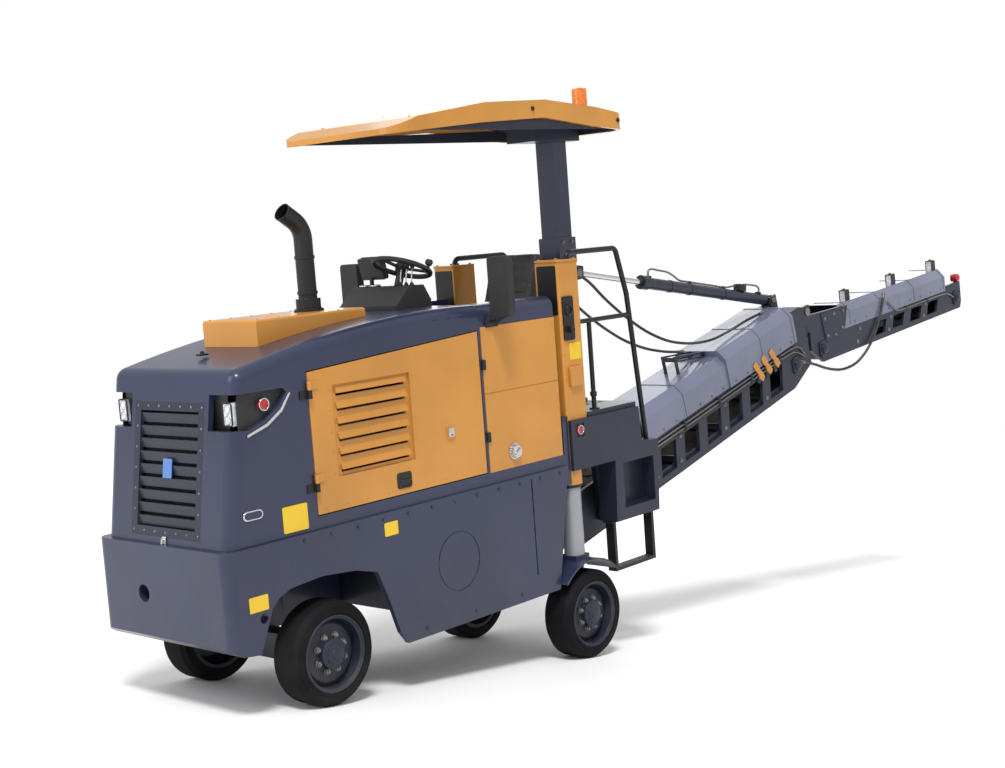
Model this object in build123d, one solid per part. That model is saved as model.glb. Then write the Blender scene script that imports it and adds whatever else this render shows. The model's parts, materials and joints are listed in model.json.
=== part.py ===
from build123d import *
import math
import os

# Small wheeled cold planer: engine under a louvred hood in front, milling drum between the axles,
# operator's platform and canopy behind, and a slewing two-part conveyor that runs out to the rear.
#
# The machine is drawn level, in millimetres, in the chassis's own frame: +X forward, +Y left, +Z up,
# with the origin under the front axle on the front tyres' contact line. It parks with its rear lifting
# columns run out, so the whole machine is turned nose down at the end, until all four tyres stand on Z = 0.

# ---------------------------------------------------------------- driving dimensions
pin_gap = 0.05                # radial clearance of a running pin
door_gap = 6                  # gap round a door
move_gap = 8                  # clearance between pieces that move past each other

wheelbase = 2110
body_half_w = 544             # outer face of the frame's side plates
panel_half_w = body_half_w - 22   # outer face of hood, doors and panels

# running gear
rear_x = -wheelbase           # what stands behind is placed from here
rear_drop = 298               # rear wheel centre below the front one, in the chassis's frame
tyre_d = 550
tyre_w = 190
tyre_bore_d = 408
front_wheel_y = body_half_w - 72
rear_wheel_y = body_half_w - 57
stub_d = 60
hub_inset = -10               # inner face of a hub from the wheel's middle plane
stub_reach = 55               # end of the stub axle from the wheel's middle plane
stud_count = 8
stud_pcd = 190
stud_hole_d = 18
king_y = front_wheel_y - 142
king_d = 50
boss_d = 90
beam_h = 140
beam_half_l = 55
lug_t = 25
knuckle_half_l = 45
arm_reach = 150               # tie-rod ball behind the kingpin
ball_pin_d = 16
tie_rod_d = 32

# frame
side_plate_t = 30
frame_top_z = 925
frame_low_z = 188
frame_rear_x = rear_x + 112
frame_rear_low_x = rear_x + 260
deck_z = 700
deck_t = 30
sill_top_z = 992
bumper_front_x = 624
bumper_rear_x = 236
bumper_low_z = 385
bumper_cavity_x = 480         # front end of the counterweight's hollow
bumper_corner_r = 60
socket_y = -161               # round socket in the counterweight's front
socket_z = 661
socket_d = 92
socket_depth = 130
tow_hole_d = 50
tow_hole_x = 420
tow_hole_z = 560
bulkhead_t = 52
spine_half_w = 120
spine_low_z = 1000

# hood and doors
hood_t = 30
hood_lean = 8.9               # degrees that the front face leans back
hood_front_x = 554            # front face at hood_ref_z
hood_ref_z = 1100
hood_shoulder_z = 1790        # where the front face turns into the top
hood_mid_x = -420
hood_mid_z = 1936
hood_crest_z = 1968
hood_round_r = 68
fire_wall_x = -1300
fire_wall_t = 20
cabinet_rear_x = rear_x + 125
cabinet_depth = 182
cabinet_top_z = 1836
cap_step = 4                  # the shoulder caps stand inside the hood's skin by this much
door_front_x = -6
door_rear_x = -1296
door_low_z = 998
door_front_top_z = 1735
door_rear_top_z = 1816
door_t = 40
louvre_front_x = -165
louvre_rear_x = -730
louvre_low_z = 1170
louvre_top_z = 1650
louvre_count = 6
louvre_recess = 14
louvre_out = 18                # reach of a louvre's lip
hinge_zs = (1120, 1600)
hinge_h = 90
hinge_d = 26
hinge_pin_d = 12
hinge_x = door_front_x + door_gap / 2
hinge_y = panel_half_w + 14
grille_half_w = 292
grille_low = -145             # along the leaning face, from hood_ref_z
grille_high = 545
grille_t = 26
grille_rim = 48
slat_count = 9
lamp_low_z = 1500
lamp_high_z = 1678
lamp_rear_x = 140
headlamp_y = panel_half_w - 82
intake_front_x = 50
intake_rear_x = -722
intake_half_w = 225
intake_top_z = 2012
exhaust_x = -510
exhaust_d = 104
exhaust_base_d = 138
exhaust_wall = 5

# milling drum
drum_x = rear_x + 710
drum_z = 425
drum_w = 490
drum_y = drum_w / 2 + 20 - (body_half_w - side_plate_t)
drum_core_d = 470
drum_cut_d = 640
drum_shaft_d = 80
helix_count = 4
picks_per_helix = 14
chamber_front_x = drum_x + 390
chamber_rear_x = drum_x - 400
chamber_top_z = 800
chamber_wall = 20
chamber_left_y = 20
chute_rear_x = rear_x - 30
chute_half_w = 190

# operator's place, masts and canopy
platform_z = 1220
platform_t = 30
platform_rear_x = rear_x - 635
mast_x = rear_x - 40
mast_len = 200
mast_y = body_half_w - 112
mast_w = 176
mast_low_z = 880
mast_top_z = 2160
column_x = rear_x
column_y = body_half_w - 89
column_d = 130
sleeve_d = 160
sleeve_low_z = 790
fender_r = 348
fender_t = 10
fender_low_z = 215
fender_in_y = body_half_w - 192
fender_out_y = body_half_w + 46
rear_box_in_y = body_half_w - 144
rear_box_low_z = 485
step_low_z = 160
rail_d = 34
rail_y = body_half_w - 74
rail_top_z = 2212
seat_half_w = 230
seat_x = rear_x + 145
mirror_x = -1420
seat_z = 1640
post_w = 140
post_top_z = 2925
journal_d = 118
journal_low_z = 1990
journal_high_z = 2130
canopy_front_x = rear_x + 1310
canopy_rear_x = rear_x - 790
canopy_half_w = body_half_w - 44
canopy_t = 28

# conveyor
slew_x = rear_x - 590         # slewing axis of the conveyor, and centre of the canopy's post
foot_z = 500                  # height of the conveyor's foot pin
slew_pin_d = 90
foot_pin_d = 50
yoke_in_y = 228
yoke_t = 34
conveyor_slope = 14.0         # lower conveyor, from the chassis's level
tip_slope = 5.0               # upper conveyor, from the chassis's level
lower_half_w = 220
lower_start = -430
lower_end = 2860
lower_low = -140
lower_mid = 200
lower_top = 440
cover_start = 600
portal_start = 2690
fold_s = 2925                 # fold pin along the lower conveyor
fold_v = 363                  # and above its line
fold_pin_d = 40
upper_half_w = 190
upper_start = 70
upper_end = 2800
upper_low = -450
upper_mid = -250
upper_top = -50
upper_cover_start = 620
upper_cover_end = 2500
frame_wall = 24
cover_wall = 6
ridge_s = 1700                # where the lower cover steps up
cover_raise = 45              # height of that step
cover_widen = 14              # and its reach to each side
rack_s = 1330                 # front end of the rack ahead of the ridge
rack_fall = 0.249             # the rack is level while the conveyor climbs
belt_t = 12
belt_half_w = 165
lift_pin_back = 150           # lift cylinder's front pin behind the slewing axis
lift_pin_z = 2060
lift_pin_d = 36
lift_eye_s = 2760
lift_eye_v = 520
eye_slack = 10                # room round the front pin, where the linkage is opened
barrel_d = 84
barrel_len = 1690
rod_d = 45
rod_inside = 620

# hoses
fold_hose_d = 22
lift_hose_d = 20
hose_gap = 0.5                # hose to the face that it lies against

# joint limits, degrees
steer_limit = 30
door_swing = 100
slew_limit = 25
lift_low = -5
lift_high = 8
fold_limit = 110

# ---------------------------------------------------------------- worked out from them
wheel_z = tyre_d / 2
rear_wheel_z = wheel_z - rear_drop
side_in_y = body_half_w - side_plate_t
hub_y = {"front": front_wheel_y, "rear": rear_wheel_y}
park_pitch = math.degrees(math.atan2(rear_drop, wheelbase))
park_lift = wheel_z - wheel_z * math.cos(math.radians(park_pitch))
lower_place = Pos(slew_x, 0, foot_z) * Rot(0, conveyor_slope, 0)
upper_place = lower_place * Pos(-fold_s, 0, fold_v) * Rot(0, tip_slope - conveyor_slope, 0)
lift_front = Vector(slew_x - lift_pin_back, 0, lift_pin_z)
lift_rear = (lower_place * Pos(-lift_eye_s, 0, lift_eye_v)).position


# ---------------------------------------------------------------- shape helpers
def box(x0, x1, y0, y1, z0, z1):
    """Box between three pairs of faces."""
    centre = Pos((x0 + x1) / 2, (y0 + y1) / 2, (z0 + z1) / 2)
    return centre * Box(abs(x1 - x0), abs(y1 - y0), abs(z1 - z0))


def plate(points, y0, y1):
    """Flat plate: an outline of (x, z) points, from y0 to y1."""
    outline = Polyline(*[(x, min(y0, y1), z) for x, z in points], close=True)
    return extrude(make_face(outline), amount=abs(y1 - y0), dir=(0, 1, 0))


def shaft_x(y, z, d, x0, x1):
    """Round bar along X."""
    return Pos((x0 + x1) / 2, y, z) * Rot(0, 90, 0) * Cylinder(d / 2, abs(x1 - x0))


def shaft_y(x, z, d, y0, y1):
    """Round bar along Y."""
    return Pos(x, (y0 + y1) / 2, z) * Rot(90, 0, 0) * Cylinder(d / 2, abs(y1 - y0))


def shaft_z(x, y, d, z0, z1):
    """Round bar along Z."""
    return Pos(x, y, (z0 + z1) / 2) * Cylinder(d / 2, abs(z1 - z0))


def bent_tube(points, d, bend):
    """Round tube, drawn solid, along straight runs joined by arcs."""
    path = FilletPolyline(*points, radius=bend)
    return sweep(Plane(origin=path @ 0, z_dir=path % 0) * Circle(d / 2), path=path)


def hose(points, d):
    """Flexible hose, drawn solid: runs joined by arcs as large as the runs at each corner allow."""
    knots = [Vector(*point) for point in points]
    radii = []
    for before, corner, after in zip(knots, knots[1:], knots[2:]):
        turn = math.radians((corner - before).get_angle(after - corner))
        run = min((corner - before).length, (after - corner).length)
        radii.append(0.45 * run / math.tan(turn / 2))
    path = FilletPolyline(*knots, radius=radii)
    return sweep(Plane(origin=path @ 0, z_dir=path % 0) * Circle(d / 2), path=path)


def turned_y(profile):
    """Solid turned about the Y axis from (radius, y) points."""
    return revolve(make_face(Polyline(*[(r, y, 0) for r, y in profile], close=True)), axis=Axis.Y)


def other_side(shape):
    """Mirror image across the machine's middle plane."""
    return mirror(shape, about=Plane.XZ)


def both_sides(shape):
    """A piece and its mirror image, as two solids."""
    return [shape, other_side(shape)]


def fused(*shapes):
    """One shape out of several that touch."""
    flat = []
    for item in shapes:
        flat.extend(item if isinstance(item, list) else [item])
    return flat[0].fuse(*flat[1:]) if len(flat) > 1 else flat[0]


# ---------------------------------------------------------------- chassis
def make_main_frame():
    """Side plates with their wheel arches, tied by deck, bulkhead and the spine that carries the conveyor."""
    outline = [
        (bumper_rear_x, frame_top_z), (frame_rear_x, frame_top_z), (frame_rear_low_x, frame_low_z),
        (-550, frame_low_z), (-495, 262), (-425, 469), (-360, 625), (-202, 667), (27, 688), (bumper_rear_x, 672),
    ]
    left = plate(outline, side_in_y, body_half_w)
    groove = shaft_y(-988, 550, 340, body_half_w - 4, body_half_w)
    left -= groove - shaft_y(-988, 550, 326, body_half_w - 4, body_half_w)
    left -= box(-1656, -1644, body_half_w - 8, body_half_w, 320, 900)
    right = other_side(left) - shaft_y(drum_x, drum_z, drum_shaft_d + 2 * pin_gap, -body_half_w, -side_in_y)
    sill = box(0, frame_rear_x, panel_half_w - hood_t, panel_half_w, frame_top_z, sill_top_z)
    rail = box(bumper_rear_x, frame_rear_x, panel_half_w - hood_t, side_in_y, frame_top_z - 30, frame_top_z)
    deck = box(bumper_rear_x, chamber_front_x, -side_in_y, side_in_y, deck_z, deck_z + deck_t)
    bulkhead = box(frame_rear_x - bulkhead_t, frame_rear_x, -panel_half_w, panel_half_w, chamber_top_z,
                   platform_z - platform_t)
    floor = box(chamber_rear_x, frame_rear_x, -side_in_y, side_in_y, chamber_top_z, chamber_top_z + chamber_wall)
    spine = box(slew_x - 95, frame_rear_x - bulkhead_t, -spine_half_w, spine_half_w, spine_low_z,
                platform_z - platform_t)
    spine -= shaft_z(slew_x, 0, slew_pin_d + 2 * pin_gap, spine_low_z, platform_z - platform_t)
    bracket = box(-100, 100, -beam_half_l, beam_half_l, wheel_z + beam_h / 2, deck_z)
    seats = both_sides(shaft_z(column_x, column_y, sleeve_d, frame_low_z, mast_low_z))
    bulkhead = bulkhead.cut(*seats)
    return fused(left, right, both_sides(sill), both_sides(rail), deck, bulkhead, floor, spine, bracket)


def make_bumper():
    """Counterweight across the front, with the front half of each wheel arch."""
    outline = [
        (bumper_rear_x, frame_top_z), (bumper_front_x, frame_top_z), (bumper_front_x, 440), (565, 400),
        (457, bumper_low_z), (363, 598), (320, 638), (bumper_rear_x, 672),
    ]
    block = plate(outline, -body_half_w, body_half_w)
    block -= box(bumper_rear_x, bumper_cavity_x, -side_in_y, side_in_y, bumper_low_z - 10, deck_z)
    block = fillet(block.edges().filter_by(Axis.Z).group_by(Axis.X)[-1], bumper_corner_r)
    block -= shaft_x(socket_y, socket_z, socket_d, bumper_front_x - socket_depth, bumper_front_x)
    return block - shaft_y(tow_hole_x, tow_hole_z, tow_hole_d, -body_half_w, body_half_w)


def front_face(shape):
    """Put a shape drawn on the YZ plane, X outwards and Z from hood_ref_z, on the leaning front face."""
    return Pos(hood_front_x, 0, hood_ref_z) * Rot(0, -hood_lean, 0) * shape


def hood_front_at(z):
    """Front face's X at a height."""
    return hood_front_x - math.tan(math.radians(hood_lean)) * (z - hood_ref_z)


def hood_block(inset, rear_x):
    """Solid within the hood's outer skin, moved in by an inset and ending at rear_x."""
    low = frame_top_z
    shoulder = hood_front_at(hood_shoulder_z) - inset
    top = hood_crest_z - inset
    outline = [
        Line((rear_x, 0, low), (hood_front_at(low) - inset, 0, low)),
        Line((hood_front_at(low) - inset, 0, low), (shoulder, 0, hood_shoulder_z - inset)),
        ThreePointArc((shoulder, 0, hood_shoulder_z - inset), (hood_mid_x, 0, hood_mid_z - inset), (rear_x, 0, top)),
        Line((rear_x, 0, top), (rear_x, 0, low)),
    ]
    half = panel_half_w - inset
    block = extrude(make_face(Wire(outline)), amount=half, dir=(0, 1, 0), both=True)
    rounded = []
    for edge in block.edges():
        middle = edge.center()
        across = edge.bounding_box().size.Y > half
        at_front = middle.X > 300
        at_top = middle.Z > hood_shoulder_z - 60
        if (across and at_front and at_top) or (not across and (at_front or at_top) and middle.Z > low + 1
                                                and middle.X > rear_x + 1):
            rounded.append(edge)
    return fillet(rounded, hood_round_r - inset)


def door_outline(gap):
    """Outline of an engine door, or of its opening when gap is the gap round it."""
    return [
        (door_front_x + gap, door_low_z - gap), (door_front_x + gap, door_front_top_z + gap),
        (door_rear_x - gap, door_rear_top_z + gap), (door_rear_x - gap, door_low_z - gap),
    ]


def make_hood():
    """Hood's skin with its door, lamp and grille openings, and the shoulders beside the operator."""
    outer = hood_block(0, fire_wall_x - fire_wall_t)
    shell = outer - hood_block(hood_t, fire_wall_x)
    wing = [(440, lamp_low_z), (400, lamp_low_z - 6), (285, 1534), (190, 1594), (lamp_rear_x, 1655), (158, lamp_high_z),
            (440, lamp_high_z)]
    cuts = []
    for side in (1, -1):
        out = side * (panel_half_w + 1)
        deep = side * (panel_half_w - hood_t - 1)
        cuts.append(plate(door_outline(door_gap), deep, out))
        cuts.append(box(fire_wall_x - fire_wall_t - 1, 0, deep, out, frame_top_z - 1, sill_top_z))
        cuts.append(plate(wing, deep, out))
        cuts.append(box(380, 600, side * (grille_half_w + 30), out, lamp_low_z, lamp_high_z))
    cuts.append(front_face(box(-120, 60, -grille_half_w, grille_half_w, grille_low, grille_high)))
    shell = shell.cut(*cuts)
    inner_y = panel_half_w - cabinet_depth
    cap = box(cabinet_rear_x, fire_wall_x - fire_wall_t, inner_y, panel_half_w - cap_step, cabinet_top_z,
              hood_crest_z - cap_step)
    cap = fillet(cap.edges().filter_by(Axis.X).group_by(Axis.Z)[-1].sort_by(Axis.Y)[-1], hood_round_r)
    inner_wall = box(cabinet_rear_x, fire_wall_x - fire_wall_t, inner_y, inner_y + 20, platform_z, cabinet_top_z)
    rear_wall = box(cabinet_rear_x, cabinet_rear_x + 20, inner_y + 20, panel_half_w - door_t, platform_z, cabinet_top_z)
    return fused(shell, both_sides(fused(cap, inner_wall, rear_wall)))


def make_lamp_pods():
    """Dark backs of the lamp recesses, behind the hood's skin."""
    skin_y = panel_half_w - hood_t
    wall = plate([(430, lamp_low_z - 20), (285, 1512), (190, 1574), (lamp_rear_x - 16, 1640), (140, lamp_high_z + 14),
                  (430, lamp_high_z + 14)], skin_y - 12, skin_y)
    back = box(372, 384, grille_half_w + 30, skin_y - 12, lamp_low_z - 20, lamp_high_z + 14)
    return both_sides(fused(wall, back) & hood_block(hood_t, fire_wall_x))


def make_headlamps():
    """Headlamps in the front corners."""
    body = box(384, 452, headlamp_y - 34, headlamp_y + 34, lamp_low_z + 22, lamp_high_z - 40)
    return both_sides(body)


def make_side_lamps():
    """Red side lamps in the recesses and square lamps at the rear."""
    skin_y = panel_half_w - hood_t
    side = shaft_y(279, 1610, 58, skin_y, skin_y + 22)
    rear = shaft_y(rear_x - 28, 1125, 52, body_half_w - 8, body_half_w + 8)
    return both_sides(side) + both_sides(rear)


def make_lamp_trims():
    """Curved bright strips under the lamp recesses."""
    end_x = hood_front_at(lamp_low_z) - hood_round_r - 12
    strip = plate([(end_x, 1476), (285, 1516), (190, 1576), (126, 1652), (118, 1648), (180, 1564),
                   (279, 1502), (end_x, 1462)], panel_half_w, panel_half_w + 8)
    return both_sides(strip)


def make_grille():
    """Framed radiator grille with leaning slats."""
    frame = box(-grille_t, 0, -grille_half_w, grille_half_w, grille_low, grille_high)
    open_w = grille_half_w - grille_rim
    frame -= box(-grille_t, 0, -open_w, open_w, grille_low + grille_rim, grille_high - grille_rim)
    pitch = (grille_high - grille_low - 2 * grille_rim) / slat_count
    slats = []
    for index in range(slat_count):
        z = grille_low + grille_rim + pitch * (index + 0.5)
        outline = [(-grille_t + 2, z - 26), (-grille_t + 8, z - 28), (-4, z + 20), (-10, z + 23)]
        slats.append(plate(outline, -open_w, open_w))
    return front_face(fused(frame, slats))


def make_intake_box():
    """Raised box on the hood that carries the exhaust."""
    block = box(intake_rear_x, intake_front_x, -intake_half_w, intake_half_w, 1840, intake_top_z)
    block = fillet(block.edges().group_by(Axis.Z)[-1], 14)
    return block - hood_block(0, fire_wall_x - fire_wall_t)


def make_exhaust():
    """Upright exhaust pipe with its mouth bent forward."""
    base = shaft_z(exhaust_x, 0, exhaust_base_d, intake_top_z, intake_top_z + 70)
    route = [(exhaust_x, 0, intake_top_z + 70), (exhaust_x, 0, 2475), (exhaust_x + 135, 0, 2565)]
    path = FilletPolyline(*route, radius=130)
    pipe = sweep(Plane(origin=path @ 0, z_dir=path % 0) * Circle(exhaust_d / 2), path=path)
    mouth = Plane(origin=path @ 1, z_dir=-(path % 1))
    bore = mouth * Pos(0, 0, 30) * Cylinder(exhaust_d / 2 - exhaust_wall, 60)
    return fused(base, pipe) - bore


def make_engine_block():
    """Engine, as one plain block at its real place."""
    return box(-1000, -150, -290, 290, deck_z + deck_t, 1560)


def make_tank_panels():
    """Fixed panels behind the doors."""
    panel = box(cabinet_rear_x, fire_wall_x - fire_wall_t, panel_half_w - door_t, panel_half_w, sill_top_z,
                cabinet_top_z)
    panel -= box(fire_wall_x - fire_wall_t - 5, fire_wall_x - fire_wall_t, panel_half_w - 8, panel_half_w,
                 sill_top_z, cabinet_top_z)
    panel -= box(cabinet_rear_x, fire_wall_x, panel_half_w - 3, panel_half_w, 1448, 1454)
    return both_sides(panel)


def make_fuel_cap():
    """Filler cap on the left panel."""
    return fused(shaft_y(-1541, 1086, 96, panel_half_w, panel_half_w + 8),
                 shaft_y(-1541, 1086, 74, panel_half_w + 8, panel_half_w + 30))


def hinge_half(z0, z1, on_door):
    """Half of a door hinge: a barrel with its leaf, and on the fixed half the pin."""
    barrel = shaft_z(hinge_x, hinge_y, hinge_d, z0, z1)
    reach = -60 if on_door else 60
    start = -door_gap / 2 if on_door else door_gap / 2
    leaf = box(hinge_x + start, hinge_x + reach, panel_half_w, panel_half_w + 6, z0, z1)
    web = box(hinge_x + start, hinge_x + 3 * start, panel_half_w, hinge_y, z0, z1)
    half = fused(barrel, leaf, web)
    if on_door:
        return half - shaft_z(hinge_x, hinge_y, hinge_pin_d + 2 * pin_gap, z0, z1)
    return fused(half, shaft_z(hinge_x, hinge_y, hinge_pin_d, z1, z1 + hinge_h / 2))


def make_door_hinges():
    """Fixed halves of the door hinges."""
    halves = [hinge_half(z, z + hinge_h / 2 - 1, False) for z in hinge_zs]
    return halves + [other_side(half) for half in halves]


def louvre_hood(x0, x1, face_y, z):
    """Pressed louvre over a slot: a lip that leans out as it comes down, with closed ends."""
    out_y = face_y + louvre_out
    lean = make_face(Polyline((x0, face_y, z + 34), (x0, out_y, z - 6), (x0, out_y - 4, z - 6), (x0, face_y, z + 22),
                              close=True))
    end = make_face(Polyline((x0, face_y, z + 34), (x0, out_y, z - 6), (x0, face_y, z - 6), close=True))
    lip = extrude(lean, amount=x1 - x0, dir=(1, 0, 0))
    cheeks = [Pos(shift, 0, 0) * extrude(end, amount=4, dir=(1, 0, 0)) for shift in (0, x1 - x0 - 4)]
    return fused(lip, cheeks)


def make_left_door():
    """Engine door with a recessed panel of pressed louvres."""
    face_y = panel_half_w - louvre_recess
    skin = plate(door_outline(0), panel_half_w - door_t, panel_half_w)
    recess = box(louvre_rear_x, louvre_front_x, face_y, panel_half_w, louvre_low_z, louvre_top_z)
    pitch = (louvre_top_z - louvre_low_z) / louvre_count
    slots = []
    hoods = []
    for index in range(louvre_count):
        z = louvre_low_z + pitch * (index + 0.5)
        slots.append(box(louvre_rear_x + 35, louvre_front_x - 35, panel_half_w - door_t, face_y, z - 20, z + 10))
        hoods.append(louvre_hood(louvre_rear_x + 28, louvre_front_x - 28, face_y, z))
    skin = skin.cut(recess, *slots)
    latch = box(-1046, -986, panel_half_w, panel_half_w + 8, 1240, 1310)
    halves = [hinge_half(z + hinge_h / 2, z + hinge_h, True) for z in hinge_zs]
    return fused(skin, hoods, latch, halves)


# ---------------------------------------------------------------- running gear
def make_front_axle():
    """Axle beam with a kingpin boss at each end."""
    low = wheel_z - beam_h / 2
    high = wheel_z + beam_h / 2
    beam = box(-beam_half_l, beam_half_l, -king_y, king_y, low, high)
    for side in (1, -1):
        beam = beam.fuse(shaft_z(0, side * king_y, boss_d, low, high))
        beam -= box(-beam_half_l - 1, beam_half_l + 1, side * king_y, side * (king_y - 40), low, high) - shaft_z(
            0, side * king_y, boss_d, low, high)
        beam -= shaft_z(0, side * king_y, king_d + 2 * pin_gap, low, high)
    return beam


def make_left_knuckle():
    """Steering knuckle: two lugs on the kingpin, stub axle and steering arm."""
    low = wheel_z - beam_h / 2 - move_gap
    high = wheel_z + beam_h / 2 + move_gap
    inner = king_y - knuckle_half_l
    upright_y = king_y + boss_d / 2 + 12
    lugs = [box(-knuckle_half_l, knuckle_half_l, inner, upright_y, low - lug_t, low),
            box(-knuckle_half_l, knuckle_half_l, inner, upright_y, high, high + lug_t)]
    upright = box(-60, 60, upright_y, upright_y + 24, low - lug_t, high + lug_t)
    pin = shaft_z(0, king_y, king_d, low - lug_t, high + lug_t)
    stub = shaft_y(0, wheel_z, stub_d, upright_y + 24, front_wheel_y + stub_reach)
    arm = box(-arm_reach - 22, -knuckle_half_l, king_y - 18, king_y + 18, low - lug_t, low - lug_t + 16)
    ball = shaft_z(-arm_reach, king_y, ball_pin_d, low - lug_t + 16, low - lug_t + 54)
    return fused(lugs, upright, pin, stub, arm, ball)


def make_tie_rod():
    """Rod between the steering arms, with an eye on each ball pin."""
    z = wheel_z - beam_h / 2 - move_gap - lug_t + 16
    eyes = [shaft_z(-arm_reach, side * king_y, 40, z + 4, z + 40) for side in (1, -1)]
    rod = fused(shaft_y(-arm_reach, z + 22, tie_rod_d, -king_y, king_y), eyes)
    rod -= shaft_z(-arm_reach, king_y, ball_pin_d + 2 * pin_gap, z, z + 60)
    return rod - shaft_z(-arm_reach, -king_y, ball_pin_d + 1, z, z + 60)


def make_tyre():
    """Solid rubber tyre about the Y axis."""
    half = tyre_w / 2
    outer = tyre_d / 2
    ring = turned_y([(tyre_bore_d / 2, -half), (outer - 22, -half), (outer, -half + 26), (outer, half - 26),
                     (outer - 22, half), (tyre_bore_d / 2, half)])
    return ring


def make_rim():
    """Dished rim about the Y axis, with its hub outwards at +Y and a blind bore for the stub axle."""
    seat = tyre_bore_d / 2
    half = tyre_w / 2
    bore = stub_d / 2 + pin_gap
    rim = turned_y([
        (bore, hub_inset), (78, hub_inset), (78, 28), (150, 18), (seat - 22, -20), (seat - 22, -half + 5),
        (seat, -half + 5), (seat, half - 6), (seat - 12, half - 2), (seat - 22, half - 10), (seat - 26, 20),
        (152, 44), (84, 54), (80, 84), (60, 96), (0, 96), (0, stub_reach + 3), (bore, stub_reach + 3),
    ])
    holes = []
    for index in range(stud_count):
        angle = math.radians(360 / stud_count * (index + 0.5))
        x = stud_pcd / 2 * math.cos(angle)
        z = stud_pcd / 2 * math.sin(angle)
        holes.append(shaft_y(x, z, stud_hole_d, -5, 70))
    return rim.cut(*holes)


def wheel_place(name):
    """Place of a wheel, turned so that its hub faces outwards."""
    end, side = name.split("_")
    x = 0 if end == "front" else -wheelbase
    z = wheel_z if end == "front" else rear_wheel_z
    if side == "left":
        return Pos(x, hub_y[end], z)
    return Pos(x, -hub_y[end], z) * Rot(0, 0, 180)


def make_rear_forks():
    """Fender and inner arm under each lifting column, with the stub axle."""
    centre = (column_x, rear_wheel_z)
    ring = shaft_y(*centre, 2 * fender_r, fender_in_y, fender_out_y)
    ring -= shaft_y(*centre, 2 * (fender_r - fender_t), fender_in_y, fender_out_y)
    ring -= box(column_x - 400, column_x + 400, fender_in_y - 1, fender_out_y + 1, -500, fender_low_z)
    block = box(column_x - column_d / 2, column_x + column_d / 2, column_y - column_d / 2, column_y + column_d / 2,
                rear_wheel_z + fender_r - 40, rear_wheel_z + fender_r + 20)
    block -= shaft_y(*centre, 2 * (fender_r - 1), fender_in_y, fender_out_y)
    arm = plate([(column_x - 190, 235), (column_x - 60, rear_wheel_z - 70), (column_x + 60, rear_wheel_z - 70),
                 (column_x + 190, 235), (column_x + 120, 345), (column_x - 120, 345)],
                fender_in_y, fender_in_y + 20)
    arm = arm & shaft_y(*centre, 2 * fender_r, fender_in_y, fender_in_y + 20)
    stub = shaft_y(*centre, stub_d, fender_in_y + 20, rear_wheel_y + stub_reach)
    return both_sides(fused(ring, block, arm, stub))


def make_columns():
    """Lifting columns that carry the rear wheels."""
    tube = shaft_z(column_x, column_y, column_d, rear_wheel_z + fender_r + 20, mast_low_z)
    return both_sides(tube)


def make_masts():
    """Housings of the lifting columns, with the sleeve that each column slides in."""
    half_l = mast_len / 2
    half_w = mast_w / 2
    housing = box(mast_x - half_l, mast_x + half_l, mast_y - half_w, mast_y + half_w, mast_low_z, mast_top_z)
    housing = fillet(housing.edges().filter_by(Axis.Z).sort_by(Axis.Y)[-2:], 14)
    sleeve = shaft_z(column_x, column_y, sleeve_d, sleeve_low_z, mast_low_z)
    sleeve -= shaft_z(column_x, column_y, column_d, sleeve_low_z, mast_low_z)
    return both_sides(fused(housing, sleeve))


# ---------------------------------------------------------------- milling drum
def make_drum_housing():
    """Chamber round the drum, open below, with the chute to the conveyor's foot."""
    inner = side_in_y
    front = box(chamber_front_x - chamber_wall, chamber_front_x, -inner, inner, frame_low_z, chamber_top_z)
    rear = box(chamber_rear_x, chamber_rear_x + chamber_wall, -inner, inner, frame_low_z, chamber_top_z)
    rear -= box(chamber_rear_x - 1, chamber_rear_x + chamber_wall + 1, -chute_half_w, 8, 350, 640)
    top = box(chamber_rear_x + chamber_wall, chamber_front_x - chamber_wall, -inner, inner,
              chamber_top_z - chamber_wall, chamber_top_z)
    left = box(chamber_rear_x + chamber_wall, chamber_front_x - chamber_wall, chamber_left_y,
               chamber_left_y + chamber_wall, frame_low_z, chamber_top_z - chamber_wall)
    gear = shaft_y(drum_x, drum_z, 300, chamber_left_y + chamber_wall, chamber_left_y + 180)
    left = fused(left, gear) - shaft_y(drum_x, drum_z, drum_shaft_d + 2 * pin_gap, chamber_left_y, chamber_left_y + 60)
    cheeks = [box(chute_rear_x, chamber_rear_x, y, y + 12, 338, 652) for y in (-chute_half_w - 12, 8)]
    floor = box(chute_rear_x, chamber_rear_x, -chute_half_w, 8, 338, 350)
    return fused(front, rear, top, left, cheeks, floor)


def make_drum():
    """Milling drum: holders with conical picks, wound on the core in helices that meet in the middle."""
    low_y = drum_y - drum_w / 2
    core = shaft_y(0, 0, drum_core_d, low_y, low_y + drum_w)
    shaft = shaft_y(0, 0, drum_shaft_d, -body_half_w, chamber_left_y + 50)
    core_r = drum_core_d / 2
    holder = box(-34, 34, -17, 17, core_r - 14, core_r + 26)
    pick = Pos(6, 0, core_r + 20) * Rot(0, 38, 0) * Cone(15, 3, 82, align=(Align.CENTER, Align.CENTER, Align.MIN))
    tool = fused(holder, pick)
    tools = []
    for helix in range(helix_count):
        for index in range(picks_per_helix):
            share = (index + 0.5) / picks_per_helix
            y = low_y + 20 + share * (drum_w - 40) + (helix - 1.5) * 6
            turn = helix * 360 / helix_count + 200 * abs(share - 0.5)
            tools.append(Rot(0, turn, 0) * Pos(0, y, 0) * tool)
    return Pos(drum_x, 0, drum_z) * fused(core, shaft, tools)


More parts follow.
